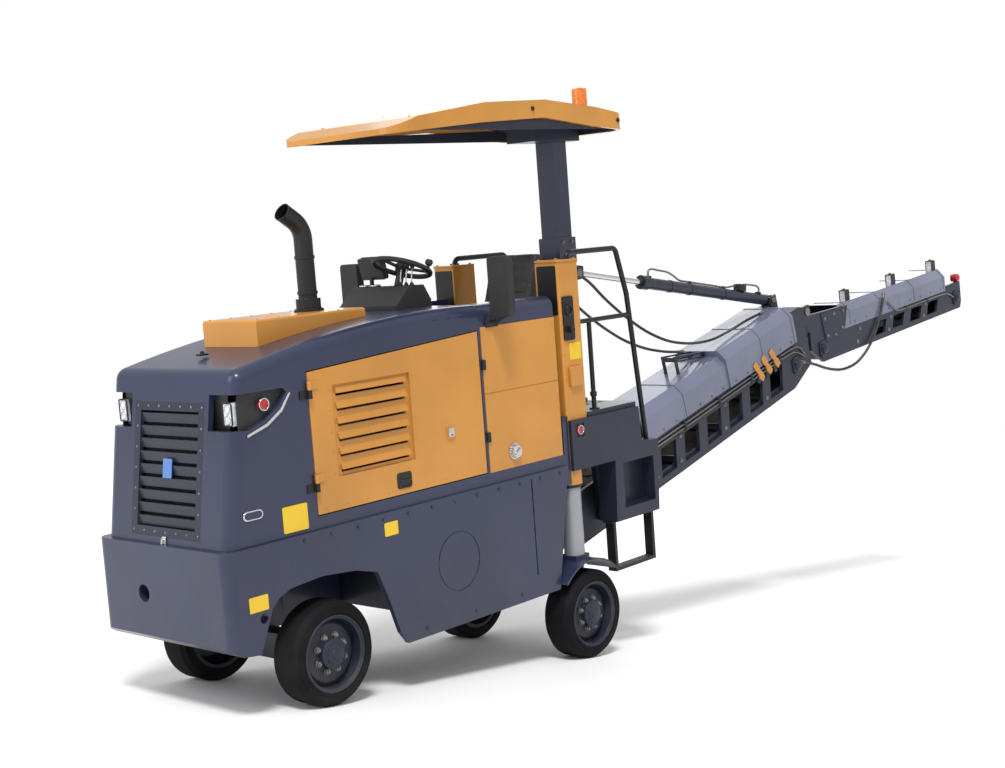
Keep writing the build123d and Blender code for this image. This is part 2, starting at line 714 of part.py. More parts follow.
# ---------------------------------------------------------------- operator's place
def make_platform():
    """Operator's floor, notched round the masts."""
    front = box(fire_wall_x - fire_wall_t, frame_rear_x, -panel_half_w + door_t, panel_half_w - door_t,
                platform_z - platform_t, platform_z)
    rear = box(platform_rear_x, frame_rear_x, -panel_half_w, panel_half_w, platform_z - platform_t, platform_z)
    notch = box(mast_x - mast_len / 2, mast_x + mast_len / 2, mast_y - mast_w / 2, body_half_w,
                platform_z - platform_t, platform_z)
    return fused(front, rear).cut(notch, other_side(notch))


def rear_box_plate(front_x, y0, y1):
    """Stepped side form of a rear box, from front_x backwards."""
    top = platform_z - platform_t
    outline = [(front_x, top), (platform_rear_x, top), (platform_rear_x - 15, 960), (rear_x - 825, 950),
               (rear_x - 795, rear_box_low_z), (rear_x - 340, rear_box_low_z), (rear_x - 360, 880), (front_x, 880)]
    return plate(outline, y0, y1)


def make_rear_boxes():
    """Dark side boxes behind the wheels, each with a deep foot recess."""
    cover_in = mast_y + mast_w / 2 + 1
    body = rear_box_plate(mast_x - mast_len / 2 - 5, rear_box_in_y, cover_in)
    cover = rear_box_plate(mast_x + mast_len / 2 - 5, cover_in, body_half_w)
    recess = box(rear_x - 760, rear_x - 435, rear_box_in_y + 40, body_half_w, 560, 850)
    pocket = box(rear_x - 68, rear_x + 12, body_half_w - 8, body_half_w, 1085, 1165)
    return both_sides(fused(body, cover).cut(recess, pocket))


def make_handrails():
    """Hooped handrails from the mast tops down to the rear boxes."""
    y = rail_y
    hoop = bent_tube([(mast_x - 50, y, mast_top_z), (mast_x - 50, y, rail_top_z), (slew_x, y, rail_top_z),
                      (slew_x - 90, y, 1914), (slew_x - 208, y, 922)], rail_d, 44)
    hoop -= rear_box_plate(slew_x + 200, rear_box_in_y, body_half_w)
    middle = shaft_x(y, 1778, 30, slew_x - 90, mast_x - mast_len / 2)
    post = shaft_z(rear_x - 275, y, 30, platform_z, 1778)
    return both_sides(fused(hoop, middle, post))


def make_steps():
    """Stirrup steps hung under the rear boxes."""
    low = rear_box_low_z
    y0, y1 = rear_box_in_y + 40, rear_box_in_y + 105
    front = box(rear_x - 372, rear_x - 347, y0, y1, step_low_z, low)
    tread = box(rear_x - 750, rear_x - 372, y0, y1, step_low_z, step_low_z + 24)
    rear = box(rear_x - 775, rear_x - 750, y0, y1, step_low_z, low)
    return both_sides(fused(front, tread, rear))


def make_console():
    """Steering console on the back of the hood, with a display on a stalk."""
    stand = plate([(-1000, 1900), (-1000, 1995), (-1110, 2100), (-1230, 2100), (-1285, 2010), (-1285, 1900)], -290, 190)
    stand -= hood_block(0, fire_wall_x - fire_wall_t)
    column = Pos(-1150, 60, 2095) * Rot(0, -22, 0) * Pos(0, 0, 50) * Cylinder(24, 100)
    stalk = shaft_z(-1225, -235, 26, 2090, 2150)
    display = Pos(-1240, -235, 2205) * Rot(0, 14, 0) * Box(36, 190, 130)
    return fused(stand, column, stalk, display)


def make_steering_wheel():
    """Steering wheel with three spokes and a hub."""
    ring = Torus(168, 15)
    spokes = [Rot(0, 0, angle) * Pos(84, 0, -4) * Box(160, 26, 12) for angle in (0, 120, 240)]
    wheel = fused(ring, Cylinder(38, 34), spokes)
    return Pos(-1150, 60, 2095) * Rot(0, -22, 0) * Pos(0, 0, 117) * wheel


def make_seat_base():
    """Pedestal of the seat."""
    pedestal = box(seat_x - 145, seat_x + 145, -150, 150, platform_z, seat_z - 40)
    return fused(pedestal, box(seat_x - 195, seat_x + 205, -210, 210, seat_z - 40, seat_z))


def make_seat():
    """Seat cushion and backrest, as plain closed solids."""
    top = seat_z + 105
    cushion = box(seat_x - 205, seat_x + 230, -seat_half_w, seat_half_w, seat_z, top)
    cushion = fillet(cushion.edges().filter_by(Axis.Z), 50)
    back = plate([(seat_x - 130, top), (seat_x - 205, top), (seat_x - 365, top + 470), (seat_x - 345, top + 495),
                  (seat_x - 285, top + 495), (seat_x - 260, top + 470)], -seat_half_w + 10, seat_half_w - 10)
    return fused(cushion, back)


def make_mirrors():
    """Rear-view mirrors on bent arms at the hood's shoulders."""
    y = panel_half_w
    head = fillet(box(mirror_x - 25, mirror_x + 25, y + 23, y + 173, 1885, 2235).edges().filter_by(Axis.X), 24)
    arm = bent_tube([(mirror_x, y, 1860), (mirror_x, y + 53, 1860), (mirror_x, y + 98, 1885)], 22, 14)
    foot = box(mirror_x - 50, mirror_x + 50, y, y + 10, 1830, 1890)
    return both_sides(fused(head, arm, foot))


def make_canopy_post():
    """Post of the canopy, with a round journal for the lift cylinder's collar."""
    half = post_w / 2
    lower = box(slew_x - half, slew_x + half, -half, half, platform_z, journal_low_z)
    foot = box(slew_x - 45, slew_x + 130, -130, 130, platform_z, platform_z + 18)
    journal = shaft_z(slew_x, 0, journal_d, journal_low_z, journal_high_z)
    socket = box(slew_x - half - 16, slew_x + half + 16, -half - 16, half + 16, journal_high_z, journal_high_z + 170)
    upper = box(slew_x - half, slew_x + half, -half, half, journal_high_z + 170, post_top_z)
    return fused(lower, foot, journal, socket, upper)


def canopy_block(inset, low_drop):
    """Canopy's outer form, moved in by an inset; low_drop carries it below the rim."""
    top = [(canopy_rear_x, 3050), (rear_x - 450, 3098), (rear_x + 40, 3137), (rear_x + 580, 3115),
           (canopy_front_x - 180, 3036), (canopy_front_x, 2975)]
    rim = [(canopy_front_x, 2942), (rear_x + 610, 3000), (rear_x + 50, 3030), (rear_x - 430, 2978),
           (canopy_rear_x, 2955)]
    outline = [(x, z - inset) for x, z in top] + [(x, z - low_drop) for x, z in rim]
    slab = plate(outline, -canopy_half_w, canopy_half_w)
    length = canopy_front_x - canopy_rear_x - 2 * inset
    middle = (canopy_front_x + canopy_rear_x) / 2
    plan = Pos(middle, 0, 2700) * RectangleRounded(length, 2 * (canopy_half_w - inset), 150 - inset)
    return slab & extrude(plan, amount=600)


def make_canopy():
    """Canopy shell with its head bracket under it."""
    shell = canopy_block(0, 0) - canopy_block(canopy_t, 200)
    bracket = box(slew_x - 160, slew_x + 300, -110, 110, post_top_z, 3140) & canopy_block(canopy_t, 60)
    return fused(shell, bracket)


def make_beacon():
    """Amber beacon on the canopy's back edge."""
    x, y = slew_x - 20, canopy_half_w / 2
    base = shaft_z(x, y, 110, 3040, 3110) - canopy_block(0, 0)
    lamp = shaft_z(x, y, 96, 3110, 3240)
    return fused(base, lamp)


# ---------------------------------------------------------------- conveyor
def belt_plate(points, y0, y1):
    """Plate from (s, v) points: s runs out along the conveyor, v square to it."""
    return plate([(-s, v) for s, v in points], y0, y1)


def belt_box(s0, s1, y0, y1, v0, v1):
    """Box in a conveyor's own directions."""
    return box(-s1, -s0, y0, y1, v0, v1)


def belt_loop(s0, s1, v0, v1):
    """Endless belt round two pulleys: a slot-shaped ring."""
    radius = (v1 - v0) / 2
    middle = (v0 + v1) / 2

    def slot(r):
        run = belt_box(s0, s1, -belt_half_w, belt_half_w, middle - r, middle + r)
        ends = [shaft_y(-s, middle, 2 * r, -belt_half_w, belt_half_w) for s in (s0, s1)]
        return fused(run, ends)

    return slot(radius) - slot(radius - belt_t)


def make_yoke():
    """Slewing yoke that hangs from the spine and carries the conveyor's foot pins."""
    top = spine_low_z - move_gap
    head = box(slew_x - 130, slew_x + 130, -yoke_in_y - yoke_t, yoke_in_y + yoke_t, top - 26, top)
    pin = shaft_z(slew_x, 0, slew_pin_d, top, platform_z - platform_t - 10)
    arm = plate([(slew_x - 110, top - 26), (slew_x + 110, top - 26), (slew_x + 55, foot_z), (slew_x + 55, foot_z - 60),
                 (slew_x - 55, foot_z - 60), (slew_x - 55, foot_z)], yoke_in_y, yoke_in_y + yoke_t)
    stub = shaft_y(slew_x, foot_z, foot_pin_d, lower_half_w - frame_wall - 2, yoke_in_y)
    return fused(head, pin, both_sides(fused(arm, stub)))


def make_lower_frame():
    """Side frames of the lower conveyor with pulleys, idlers, end portal and cylinder bracket."""
    inner = lower_half_w - frame_wall
    side = belt_plate([(lower_start, lower_low + 60), (lower_start + 60, lower_low), (2560, lower_low),
                       (lower_end, -40), (lower_end, 260), (fold_s + 45, fold_v - 30), (fold_s + 45, fold_v + 45),
                       (fold_s - 40, fold_v + 50), (lower_end - 40, lower_top), (portal_start, lower_top),
                       (portal_start, lower_mid), (lower_start, lower_mid)], inner, lower_half_w)
    side -= shaft_y(0, 0, foot_pin_d + 2 * pin_gap, inner, lower_half_w)
    side -= shaft_y(-fold_s, fold_v, fold_pin_d + 2 * pin_gap, inner, lower_half_w)
    starts = range(700, 2500, 300)
    windows = [belt_plate([(s, -90), (s + 190, -90), (s + 240, 110), (s + 50, 110)], inner, lower_half_w)
               for s in starts]
    side = side.cut(*windows)
    portal = belt_box(portal_start, lower_end - 40, -inner, inner, lower_top - frame_wall, lower_top)
    pulleys = [shaft_y(-s, 25, 226, -inner, inner) for s in (-290, 2640)]
    idlers = [shaft_y(-s - shift, v, 60, -inner, inner) for s in (400, *starts[::2])
              for v, shift in ((108, 295), (-58, 250))]
    lugs = [belt_box(lift_eye_s - 45, lift_eye_s + 45, y, y + 18, lower_top, lift_eye_v + 35) for y in (27, -45)]
    pin = shaft_y(-lift_eye_s, lift_eye_v, lift_pin_d, -45, 45)
    return [lower_place * fused(both_sides(side), portal, pulleys, idlers, lugs, pin), lower_place * make_rack()]


def make_lower_belt():
    """Belt of the lower conveyor."""
    return lower_place * belt_loop(-290, 2640, 25 - 113 - belt_t, 25 + 113 + belt_t)


def cover_block(s0, s1, half_w, v0, v1, inset):
    """Solid form of a roof with slanting shoulders, moved in by an inset at its sides and top."""
    half = half_w - inset
    face = make_face(Polyline((-s0, -half, v0), (-s0, -half, v1 - 70), (-s0, -half + 60, v1 - inset),
                              (-s0, half - 60, v1 - inset), (-s0, half, v1 - 70), (-s0, half, v0), close=True))
    return extrude(face, amount=s1 - s0, dir=(-1, 0, 0))


def cover_shell(s0, s1, half_w, v0, v1):
    """Roof over a belt: two walls and a top with slanting shoulders."""
    return cover_block(s0, s1, half_w, v0, v1, 0) - cover_block(s0, s1, half_w, v0, v1, cover_wall)


def make_rack():
    """Level rack between the ridge and a leg on the front cover: two windowed plates with a bar across."""
    high = lower_top + cover_raise

    def line(s, drop):
        return (s, high + rack_fall * (ridge_s - s) - drop)

    def rail(y0, y1):
        side = belt_plate([line(ridge_s, 0), line(rack_s, 0), (rack_s, lower_top), (rack_s + 28, lower_top),
                           line(rack_s + 28, 44), line(ridge_s, 44)], y0, y1)
        for s in (rack_s + 45, rack_s + 200):
            side -= belt_plate([line(s, 12), line(s + 130, 12), line(s + 130, 32), line(s, 32)], y0, y1)
        return side

    top = line(rack_s + 6, 0)[1]
    bar = belt_box(rack_s, rack_s + 12, -60, 60, top - 40, top - 8)
    return fused(rail(50, 60), rail(-60, -50), bar)


def make_lower_cover():
    """Pale roof over the lower belt, stepped up and widened behind the ridge."""
    wide = lower_half_w + cover_widen
    high = lower_top + cover_raise
    front = cover_shell(cover_start, ridge_s + 10, lower_half_w, lower_mid, lower_top)
    rear = cover_shell(ridge_s, portal_start, wide, lower_mid, high)
    ridge = cover_block(ridge_s, ridge_s + 10, wide, lower_mid, high, 0)
    ridge -= cover_block(ridge_s, ridge_s + 10, lower_half_w, lower_mid, lower_top, cover_wall)
    return lower_place * fused(front, rear, ridge)


def make_upper_frame():
    """Side frames of the upper conveyor with its fold pins, pulleys and idlers."""
    inner = upper_half_w - frame_wall
    side = belt_plate([(upper_start, upper_low + 120), (upper_start + 170, upper_low), (upper_end - 30, upper_low),
                       (upper_end, upper_low + 60), (upper_end, upper_mid + 40),
                       (upper_cover_end + 10, upper_mid + 40), (upper_cover_end + 10, upper_mid),
                       (upper_cover_start, upper_mid), (upper_cover_start, upper_top - 10), (upper_start, upper_top + 10),
                       (35, 40), (-38, 30), (-38, -45), (upper_start, -180)], inner, upper_half_w)
    starts = range(1100, 2300, 330)
    windows = [belt_plate([(s, upper_low + 45), (s + 200, upper_low + 45), (s + 250, upper_mid - 45),
                           (s + 50, upper_mid - 45)], inner, upper_half_w) for s in starts]
    side = side.cut(*windows)
    pins = [shaft_y(0, 0, fold_pin_d, y * inner, y * lower_half_w) for y in (1, -1)]
    pulleys = [shaft_y(-s, upper_low + 105, 150, -inner, inner) for s in (250, upper_end - 105)]
    idlers = [shaft_y(-s - shift, upper_low + v, 50, -inner, inner) for s in (550, *starts[::2])
              for v, shift in ((155, 315), (55, 265))]
    quadrant = belt_plate([(250, upper_top - 15), (upper_cover_start + 60, upper_top - 15), (620, upper_mid + 20),
                           (480, upper_mid - 40), (300, upper_mid - 40)], upper_half_w, upper_half_w + 8)
    return upper_place * fused(both_sides(side), both_sides(quadrant), pins, pulleys, idlers)


def make_upper_belt():
    """Belt of the upper conveyor."""
    return upper_place * belt_loop(250, upper_end - 105, upper_low + 30 - belt_t, upper_low + 180 + belt_t)


def make_upper_cover():
    """Pale roof over the upper belt."""
    return upper_place * cover_shell(upper_cover_start, upper_cover_end, upper_half_w, upper_mid, upper_top)


def make_tip_lamps():
    """Work lamps along the top of the upper conveyor and the red lamp at its tip."""
    work = [belt_box(s, s + 60, 70, 120, upper_top, upper_top + 85) for s in (800, 1620, 2400)]
    tip = [shaft_y(-upper_end + 30, upper_mid + 75, 70, y, y + 60) for y in (upper_half_w - 60, -upper_half_w)]
    return [upper_place * lamp for lamp in work + tip]


def cylinder_frame():
    """Place at the lift cylinder's rear pin with X along the cylinder to its front pin."""
    axis = lift_front - lift_rear
    return Plane(origin=lift_rear, x_dir=axis, z_dir=Vector(0, -1, 0)), axis.length


def make_lift_barrel():
    """Barrel of the lift cylinder, hinged on the lower conveyor."""
    plane, _ = cylinder_frame()
    eye = Cylinder(42, 50)
    neck = Pos(45, 0, 0) * Rot(0, 90, 0) * Cylinder(24, 90)
    tube = Pos(barrel_len / 2 + 40, 0, 0) * Rot(0, 90, 0) * Cylinder(barrel_d / 2, barrel_len - 80)
    gland = Pos(barrel_len - 35, 0, 0) * Rot(0, 90, 0) * Cylinder(barrel_d / 2 + 8, 70)
    cavity = Pos(barrel_len / 2 + 30, 0, 0) * Rot(0, 90, 0) * Cylinder(rod_d / 2 + 8, barrel_len - 200)
    bore = Pos(barrel_len - 40, 0, 0) * Rot(0, 90, 0) * Cylinder(rod_d / 2 + pin_gap, 140)
    hole = Cylinder(lift_pin_d / 2 + pin_gap, 60)
    return plane * (fused(eye, neck, tube, gland) - cavity - bore - hole)


def make_lift_rod():
    """Rod of the lift cylinder, with a roomy eye on the collar's pin."""
    plane, length = cylinder_frame()
    start = barrel_len - rod_inside
    rod = Pos((start + length - 40) / 2, 0, 0) * Rot(0, 90, 0) * Cylinder(rod_d / 2, length - 40 - start)
    eye = Pos(length, 0, 0) * Cylinder(42, 36)
    hole = Pos(length, 0, 0) * Cylinder(lift_pin_d / 2 + eye_slack, 60)
    return plane * (fused(rod, eye) - hole)


def make_lift_collar():
    """Collar that turns on the post's journal and holds the lift cylinder's front pin."""
    low = journal_low_z + move_gap
    high = journal_high_z - move_gap
    ring = shaft_z(slew_x, 0, journal_d + 60, low, high)
    lugs = [plate([(slew_x - 40, low), (slew_x - 40, high), (slew_x - lift_pin_back - 45, lift_pin_z + 40),
                   (slew_x - lift_pin_back - 45, lift_pin_z - 40)], y, y + 20) for y in (28, -48)]
    pin = shaft_y(slew_x - lift_pin_back, lift_pin_z, lift_pin_d, -48, 48)
    return fused(ring, lugs, pin) - shaft_z(slew_x, 0, journal_d + 2 * pin_gap, low, high)


# ---------------------------------------------------------------- hoses
def make_fold_hose():
    """Hose hanging in a loop under the fold, from the lower frame's side to the upper cover's."""
    near = lower_half_w + fold_hose_d / 2 + hose_gap
    far = upper_half_w + fold_hose_d / 2 + hose_gap
    route = [(-150, near, -372), (10, near, -420), (220, near, -505), (450, near - 4, -562), (700, near - 8, -560),
             (930, near - 14, -480), (1110, near - 20, -350), (1235, far + 4, -205), (1300, far, -95)]
    return upper_place * hose([(-s, y, v) for s, y, v in route], fold_hose_d)


def make_lift_hose(side):
    """Hose that sags from the lift collar to the lower conveyor: the left to its cover, the right to the rack."""
    left = [(-60, 112, 2052), (-170, 114, 1990), (-330, 112, 1862), (-540, 106, 1728), (-790, 98, 1596),
            (-1060, 88, 1500), (-1340, 80, 1456), (-1620, 72, 1452), (-1880, 66, 1498), (-2120, 64, 1556),
            (-2330, 64, 1591.5)]
    right = [(-60, 112, 2010), (-170, 114, 1930), (-330, 110, 1800), (-540, 102, 1662), (-780, 92, 1535),
             (-1020, 82, 1452), (-1240, 70, 1408), (-1400, 57, 1391.5)]
    points = left if side > 0 else right
    return hose([(slew_x + x, side * y, z) for x, y, z in points], lift_hose_d)


# ---------------------------------------------------------------- all the pieces
def all_pieces():
    """Every piece of the machine by its node's name, drawn level."""
    left_knuckle = make_left_knuckle()
    left_door = make_left_door()
    pieces = {
        "main_frame": make_main_frame(),
        "bumper": make_bumper(),
        "hood": make_hood(),
        "grille": make_grille(),
        "lamp_pods": make_lamp_pods(),
        "headlamps": make_headlamps(),
        "side_lamps": make_side_lamps(),
        "lamp_trims": make_lamp_trims(),
        "intake_box": make_intake_box(),
        "exhaust": make_exhaust(),
        "engine_block": make_engine_block(),
        "tank_panels": make_tank_panels(),
        "fuel_cap": make_fuel_cap(),
        "door_hinges": make_door_hinges(),
        "left_door": left_door,
        "right_door": other_side(left_door),
        "front_axle": make_front_axle(),
        "front_left_knuckle": left_knuckle,
        "front_right_knuckle": other_side(left_knuckle),
        "tie_rod": make_tie_rod(),
        "rear_forks": make_rear_forks(),
        "columns": make_columns(),
        "masts": make_masts(),
        "drum_housing": make_drum_housing(),
        "milling_drum": make_drum(),
        "platform": make_platform(),
        "rear_boxes": make_rear_boxes(),
        "handrails": make_handrails(),
        "steps": make_steps(),
        "console": make_console(),
        "steering_wheel": make_steering_wheel(),
        "seat_base": make_seat_base(),
        "seat": make_seat(),
        "mirrors": make_mirrors(),
        "canopy_post": make_canopy_post(),
        "canopy": make_canopy(),
        "beacon": make_beacon(),
        "yoke": make_yoke(),
        "lower_conveyor_frame": make_lower_frame(),
        "lower_conveyor_cover": make_lower_cover(),
        "lower_conveyor_belt": make_lower_belt(),
        "upper_conveyor_frame": make_upper_frame(),
        "upper_conveyor_cover": make_upper_cover(),
        "upper_conveyor_belt": make_upper_belt(),
        "conveyor_lamps": make_tip_lamps(),
        "lift_barrel": make_lift_barrel(),
        "lift_rod": make_lift_rod(),
        "lift_collar": make_lift_collar(),
        "fold_hose": make_fold_hose(),
        "left_lift_hose": make_lift_hose(1),
        "right_lift_hose": make_lift_hose(-1),
    }
    tyre = make_tyre()
    rim = make_rim()
    for name in ("front_left", "front_right", "rear_left", "rear_right"):
        pieces[name + "_tyre"] = wheel_place(name) * tyre
        pieces[name + "_rim"] = wheel_place(name) * rim
    return pieces


def as_shape(piece):
    """One shape of a piece that may be a list of solids."""
    return Compound(children=list(piece)) if isinstance(piece, list) else piece


pieces = {name: as_shape(piece) for name, piece in all_pieces().items()}
tilt = Pos(0, 0, park_lift) * Rot(0, park_pitch, 0)
reach = Compound(children=[tilt * shape for shape in pieces.values()]).bounding_box()
park = Pos(-reach.center().X, -reach.center().Y, 0) * tilt

os.makedirs("parts", exist_ok=True)
for name, shape in pieces.items():
    export_step(park * shape, "parts/" + name + ".step")
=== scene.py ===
"""Looks of a small wheeled cold planer: finishes, fittings, padded seat, hoses, stage and camera."""

import json
import logging
import math
from dataclasses import dataclass
from enum import Enum

import bmesh
import bpy
import numpy as np
from mathutils import Matrix, Vector

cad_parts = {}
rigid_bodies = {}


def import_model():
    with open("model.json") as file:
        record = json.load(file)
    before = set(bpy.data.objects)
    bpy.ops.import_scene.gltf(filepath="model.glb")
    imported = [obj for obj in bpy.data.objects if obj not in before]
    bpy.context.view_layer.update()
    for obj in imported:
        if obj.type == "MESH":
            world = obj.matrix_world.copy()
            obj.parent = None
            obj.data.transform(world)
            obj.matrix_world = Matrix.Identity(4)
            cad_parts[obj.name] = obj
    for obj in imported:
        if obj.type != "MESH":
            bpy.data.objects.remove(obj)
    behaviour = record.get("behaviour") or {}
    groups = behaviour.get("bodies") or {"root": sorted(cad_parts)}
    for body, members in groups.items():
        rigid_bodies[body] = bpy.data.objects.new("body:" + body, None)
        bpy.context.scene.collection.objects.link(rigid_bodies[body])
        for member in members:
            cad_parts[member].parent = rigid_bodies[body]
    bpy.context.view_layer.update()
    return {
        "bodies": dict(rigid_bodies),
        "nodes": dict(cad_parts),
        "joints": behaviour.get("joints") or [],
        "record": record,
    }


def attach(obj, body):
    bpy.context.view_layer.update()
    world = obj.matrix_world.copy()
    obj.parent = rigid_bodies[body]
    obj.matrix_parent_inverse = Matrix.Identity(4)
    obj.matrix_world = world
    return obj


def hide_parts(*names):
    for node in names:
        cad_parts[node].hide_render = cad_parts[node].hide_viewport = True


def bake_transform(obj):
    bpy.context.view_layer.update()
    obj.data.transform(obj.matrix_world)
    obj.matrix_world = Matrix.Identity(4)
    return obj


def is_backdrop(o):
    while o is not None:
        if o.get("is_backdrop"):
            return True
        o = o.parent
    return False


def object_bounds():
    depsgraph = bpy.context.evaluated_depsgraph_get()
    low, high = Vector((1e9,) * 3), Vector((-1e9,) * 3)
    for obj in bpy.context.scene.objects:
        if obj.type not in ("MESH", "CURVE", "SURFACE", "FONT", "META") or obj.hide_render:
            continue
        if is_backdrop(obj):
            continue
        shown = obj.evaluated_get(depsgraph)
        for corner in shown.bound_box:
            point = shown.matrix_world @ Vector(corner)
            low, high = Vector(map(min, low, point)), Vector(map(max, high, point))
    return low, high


log = logging.getLogger("planer")
Triple = tuple[float, float, float]
Pair = tuple[float, float]
Faces = list[tuple[int, ...]]

UP: Triple = (0.0, 0.0, 1.0)
LEFT: Triple = (0.0, 1.0, 0.0)
RIGHT: Triple = (0.0, -1.0, 0.0)
FORWARD: Triple = (1.0, 0.0, 0.0)
BACK: Triple = (-1.0, 0.0, 0.0)
SIDES = (("left", 1.0, LEFT), ("right", -1.0, RIGHT))
WHEELS = ("front_left", "front_right", "rear_left", "rear_right")
SLEW_X = -2.700


class Slot(Enum):
    """Material slots of the record."""

    BODY = "body_paint"
    YELLOW = "yellow_paint"
    DARK = "dark_paint"
    BLACK = "black_paint"
    # Pale blue-grey of the conveyor covers, a painted sky reflection over their dark slate paint.
    PALE = "pale_paint"
    COLUMN = "column_paint"
    RIM = "rim_paint"
    TYRE = "tyre_rubber"
    BELT = "belt_rubber"
    HOSE = "hose_rubber"
    STEEL = "worn_steel"
    ROD = "rod_chrome"
    TRIM = "trim_chrome"
    PLASTIC = "black_plastic"
    VINYL = "seat_vinyl"
    CLEAR = "lamp_clear"
    RED = "lamp_red"
    AMBER = "lamp_amber"


# ------------------------------------------------------------------ places
@dataclass(frozen=True)
class Place:
    """An own frame of a sub-assembly: a 4x4 matrix from it to the model's frame, in metres."""

    matrix: np.ndarray

    def at(self, x: float, y: float, z: float) -> Vector:
        """Point of the model's frame at own coordinates x, y, z."""
        return Vector((self.matrix @ np.array([x, y, z, 1.0]))[:3])

    def turned(self, x: float, y: float, z: float, pitch: float = 0.0) -> "Place":
        """Place moved to own x, y, z and pitched about its own Y by an angle in degrees, nose down.

        Args:
            x: shift forwards.
            y: shift to the left.
            z: shift up.
            pitch: turn about Y in degrees.

        Returns:
            The new place.
        """
        step = Matrix.Translation((x, y, z)) @ Matrix.Rotation(math.radians(pitch), 4, "Y")
        return Place(self.matrix @ np.array(step))


def joint_named(frame: dict, name: str) -> dict:
    """The joint of that name in the frame."""
    return next(joint for joint in frame["joints"] if joint["name"] == name)


@dataclass(frozen=True)
class Places:
    """The frames that the sub-assemblies are drawn in."""

    chassis: Place
    lower: Place
    upper: Place
    cylinder: Place

    conveyor_slope = 14.0
    tip_slope = 5.0
    wheel_centre = 0.275

    @classmethod
    def read(cls, frame: dict) -> "Places":
        """Work the places out from the joints: the slewing axis is the chassis's upright direction.


        Returns:
            The four places.
        """
        up = np.array(joint_named(frame, "conveyor_slew")["axis"], float)
        side = np.array(LEFT)
        wheel = np.array(joint_named(frame, "front_left_spin")["pos_m"], float)
        matrix = np.eye(4)
        matrix[:3, 0] = np.cross(side, up)
        matrix[:3, 1] = side
        matrix[:3, 2] = up
        matrix[:3, 3] = wheel * (1, 0, 1) - up * cls.wheel_centre
        chassis = Place(matrix)
        rod = np.array(joint_named(frame, "lift_rod_slide")["axis"], float)
        cylinder = np.eye(4)
        cylinder[:3, 0] = rod
        cylinder[:3, 1] = side
        cylinder[:3, 2] = np.cross(rod, side)
        cylinder[:3, 3] = joint_named(frame, "lift_barrel_tilt")["pos_m"]
        return cls(
            chassis,
            cls.hinged(matrix, joint_named(frame, "conveyor_lift")["pos_m"], cls.conveyor_slope),
            cls.hinged(matrix, joint_named(frame, "conveyor_fold")["pos_m"], cls.tip_slope),
            Place(cylinder),
        )

    @staticmethod
    def hinged(chassis: np.ndarray, pin: list[float], slope: float) -> Place:
        """Place on a pin, turned like the chassis and then by the slope of a conveyor."""
        matrix = chassis.copy()
        matrix[:3, 3] = pin
        return Place(matrix).turned(0, 0, 0, slope)


# ------------------------------------------------------------------ surfaces
@dataclass(frozen=True)
class Surface:
    """Vertices as an (n, 3) array and faces as index tuples."""

    points: np.ndarray
    faces: Faces

    def moved(self, matrix: Matrix | np.ndarray) -> "Surface":
        """Copy of the surface carried by a 4x4 matrix."""
        m = np.array(matrix, float)
        return Surface(self.points @ m[:3, :3].T + m[:3, 3], self.faces)

    def at(self, x: float, y: float, z: float) -> "Surface":
        """Copy of the surface shifted by x, y, z."""
        return Surface(self.points + np.array([x, y, z]), self.faces)


def joined(surfaces: list[Surface]) -> Surface:
    """One surface out of several."""
    points: list[np.ndarray] = []
    faces: Faces = []
    start = 0
    for item in surfaces:
        points.append(item.points)
        faces.extend(tuple(index + start for index in face) for face in item.faces)
        start += len(item.points)
    return Surface(np.concatenate(points), faces)


def grid_faces(rows: int, columns: int, round_rows: bool = False, round_columns: bool = False) -> Faces:
    """Quads of a grid of rows x columns points; a round direction is joined end to start."""
    last_row = rows if round_rows else rows - 1
    last_column = columns if round_columns else columns - 1
    r, c = np.meshgrid(np.arange(last_row), np.arange(last_column), indexing="ij")
    r2, c2 = (r + 1) % rows, (c + 1) % columns
    quads = np.stack([r * columns + c, r * columns + c2, r2 * columns + c2, r2 * columns + c], -1)
    return [tuple(quad) for quad in quads.reshape(-1, 4).tolist()]


def lathe(profile: list[Pair], sides: int = 24) -> Surface:
    """Turned form about Z: point(t, a) = (r(t) cos a, r(t) sin a, h(t)).

    Flat ends close a profile that stops off the axis.

    Args:
        profile: (radius, height) pairs.
        sides: points round the axis.

    Returns:
        The closed surface.
    """
    r, h = np.array(profile, float).T
    a = np.linspace(0, 2 * math.pi, sides, endpoint=False)
    points = np.stack([np.outer(r, np.cos(a)), np.outer(r, np.sin(a)), np.repeat(h[:, None], sides, 1)], -1)
    faces = grid_faces(len(r), sides, round_columns=True)
    if r[0] > 0:
        faces.append(tuple(range(sides))[::-1])
    if r[-1] > 0:
        faces.append(tuple((len(r) - 1) * sides + k for k in range(sides)))
    return Surface(points.reshape(-1, 3), faces)


def cylinder(radius: float, height: float, chamfer: float = 0.001, sides: int = 24) -> Surface:
    """Cylinder on Z = 0 with chamfered ends."""
    inner = radius - chamfer
    return lathe([(inner, 0), (radius, chamfer), (radius, height - chamfer), (inner, height)], sides)


def ring(radius: float, tube: float, sides: int = 48, round_sides: int = 12) -> Surface:
    """Torus about Z: a small circle carried round a large one."""
    a = np.linspace(0, 2 * math.pi, sides, endpoint=False)[:, None]
    b = np.linspace(0, 2 * math.pi, round_sides, endpoint=False)[None, :]
    r = radius + tube * np.cos(b)
    points = np.stack([r * np.cos(a), r * np.sin(a), tube * np.sin(b) + 0 * a], -1)
    return Surface(points.reshape(-1, 3), grid_faces(sides, round_sides, True, True))


def rounded_outline(width: float, depth: float, radius: float, steps: int = 4) -> np.ndarray:
    """Rectangle about the origin with quarter-circle corners, anticlockwise."""
    turn = np.linspace(0, math.pi / 2, steps)
    corners = []
    for index, (sx, sy) in enumerate(((1, 1), (-1, 1), (-1, -1), (1, -1))):
        centre = np.array([sx * (width / 2 - radius), sy * (depth / 2 - radius)])
        angle = turn + index * math.pi / 2
        corners.append(centre + radius * np.stack([np.cos(angle), np.sin(angle)], -1))
    return np.concatenate(corners)


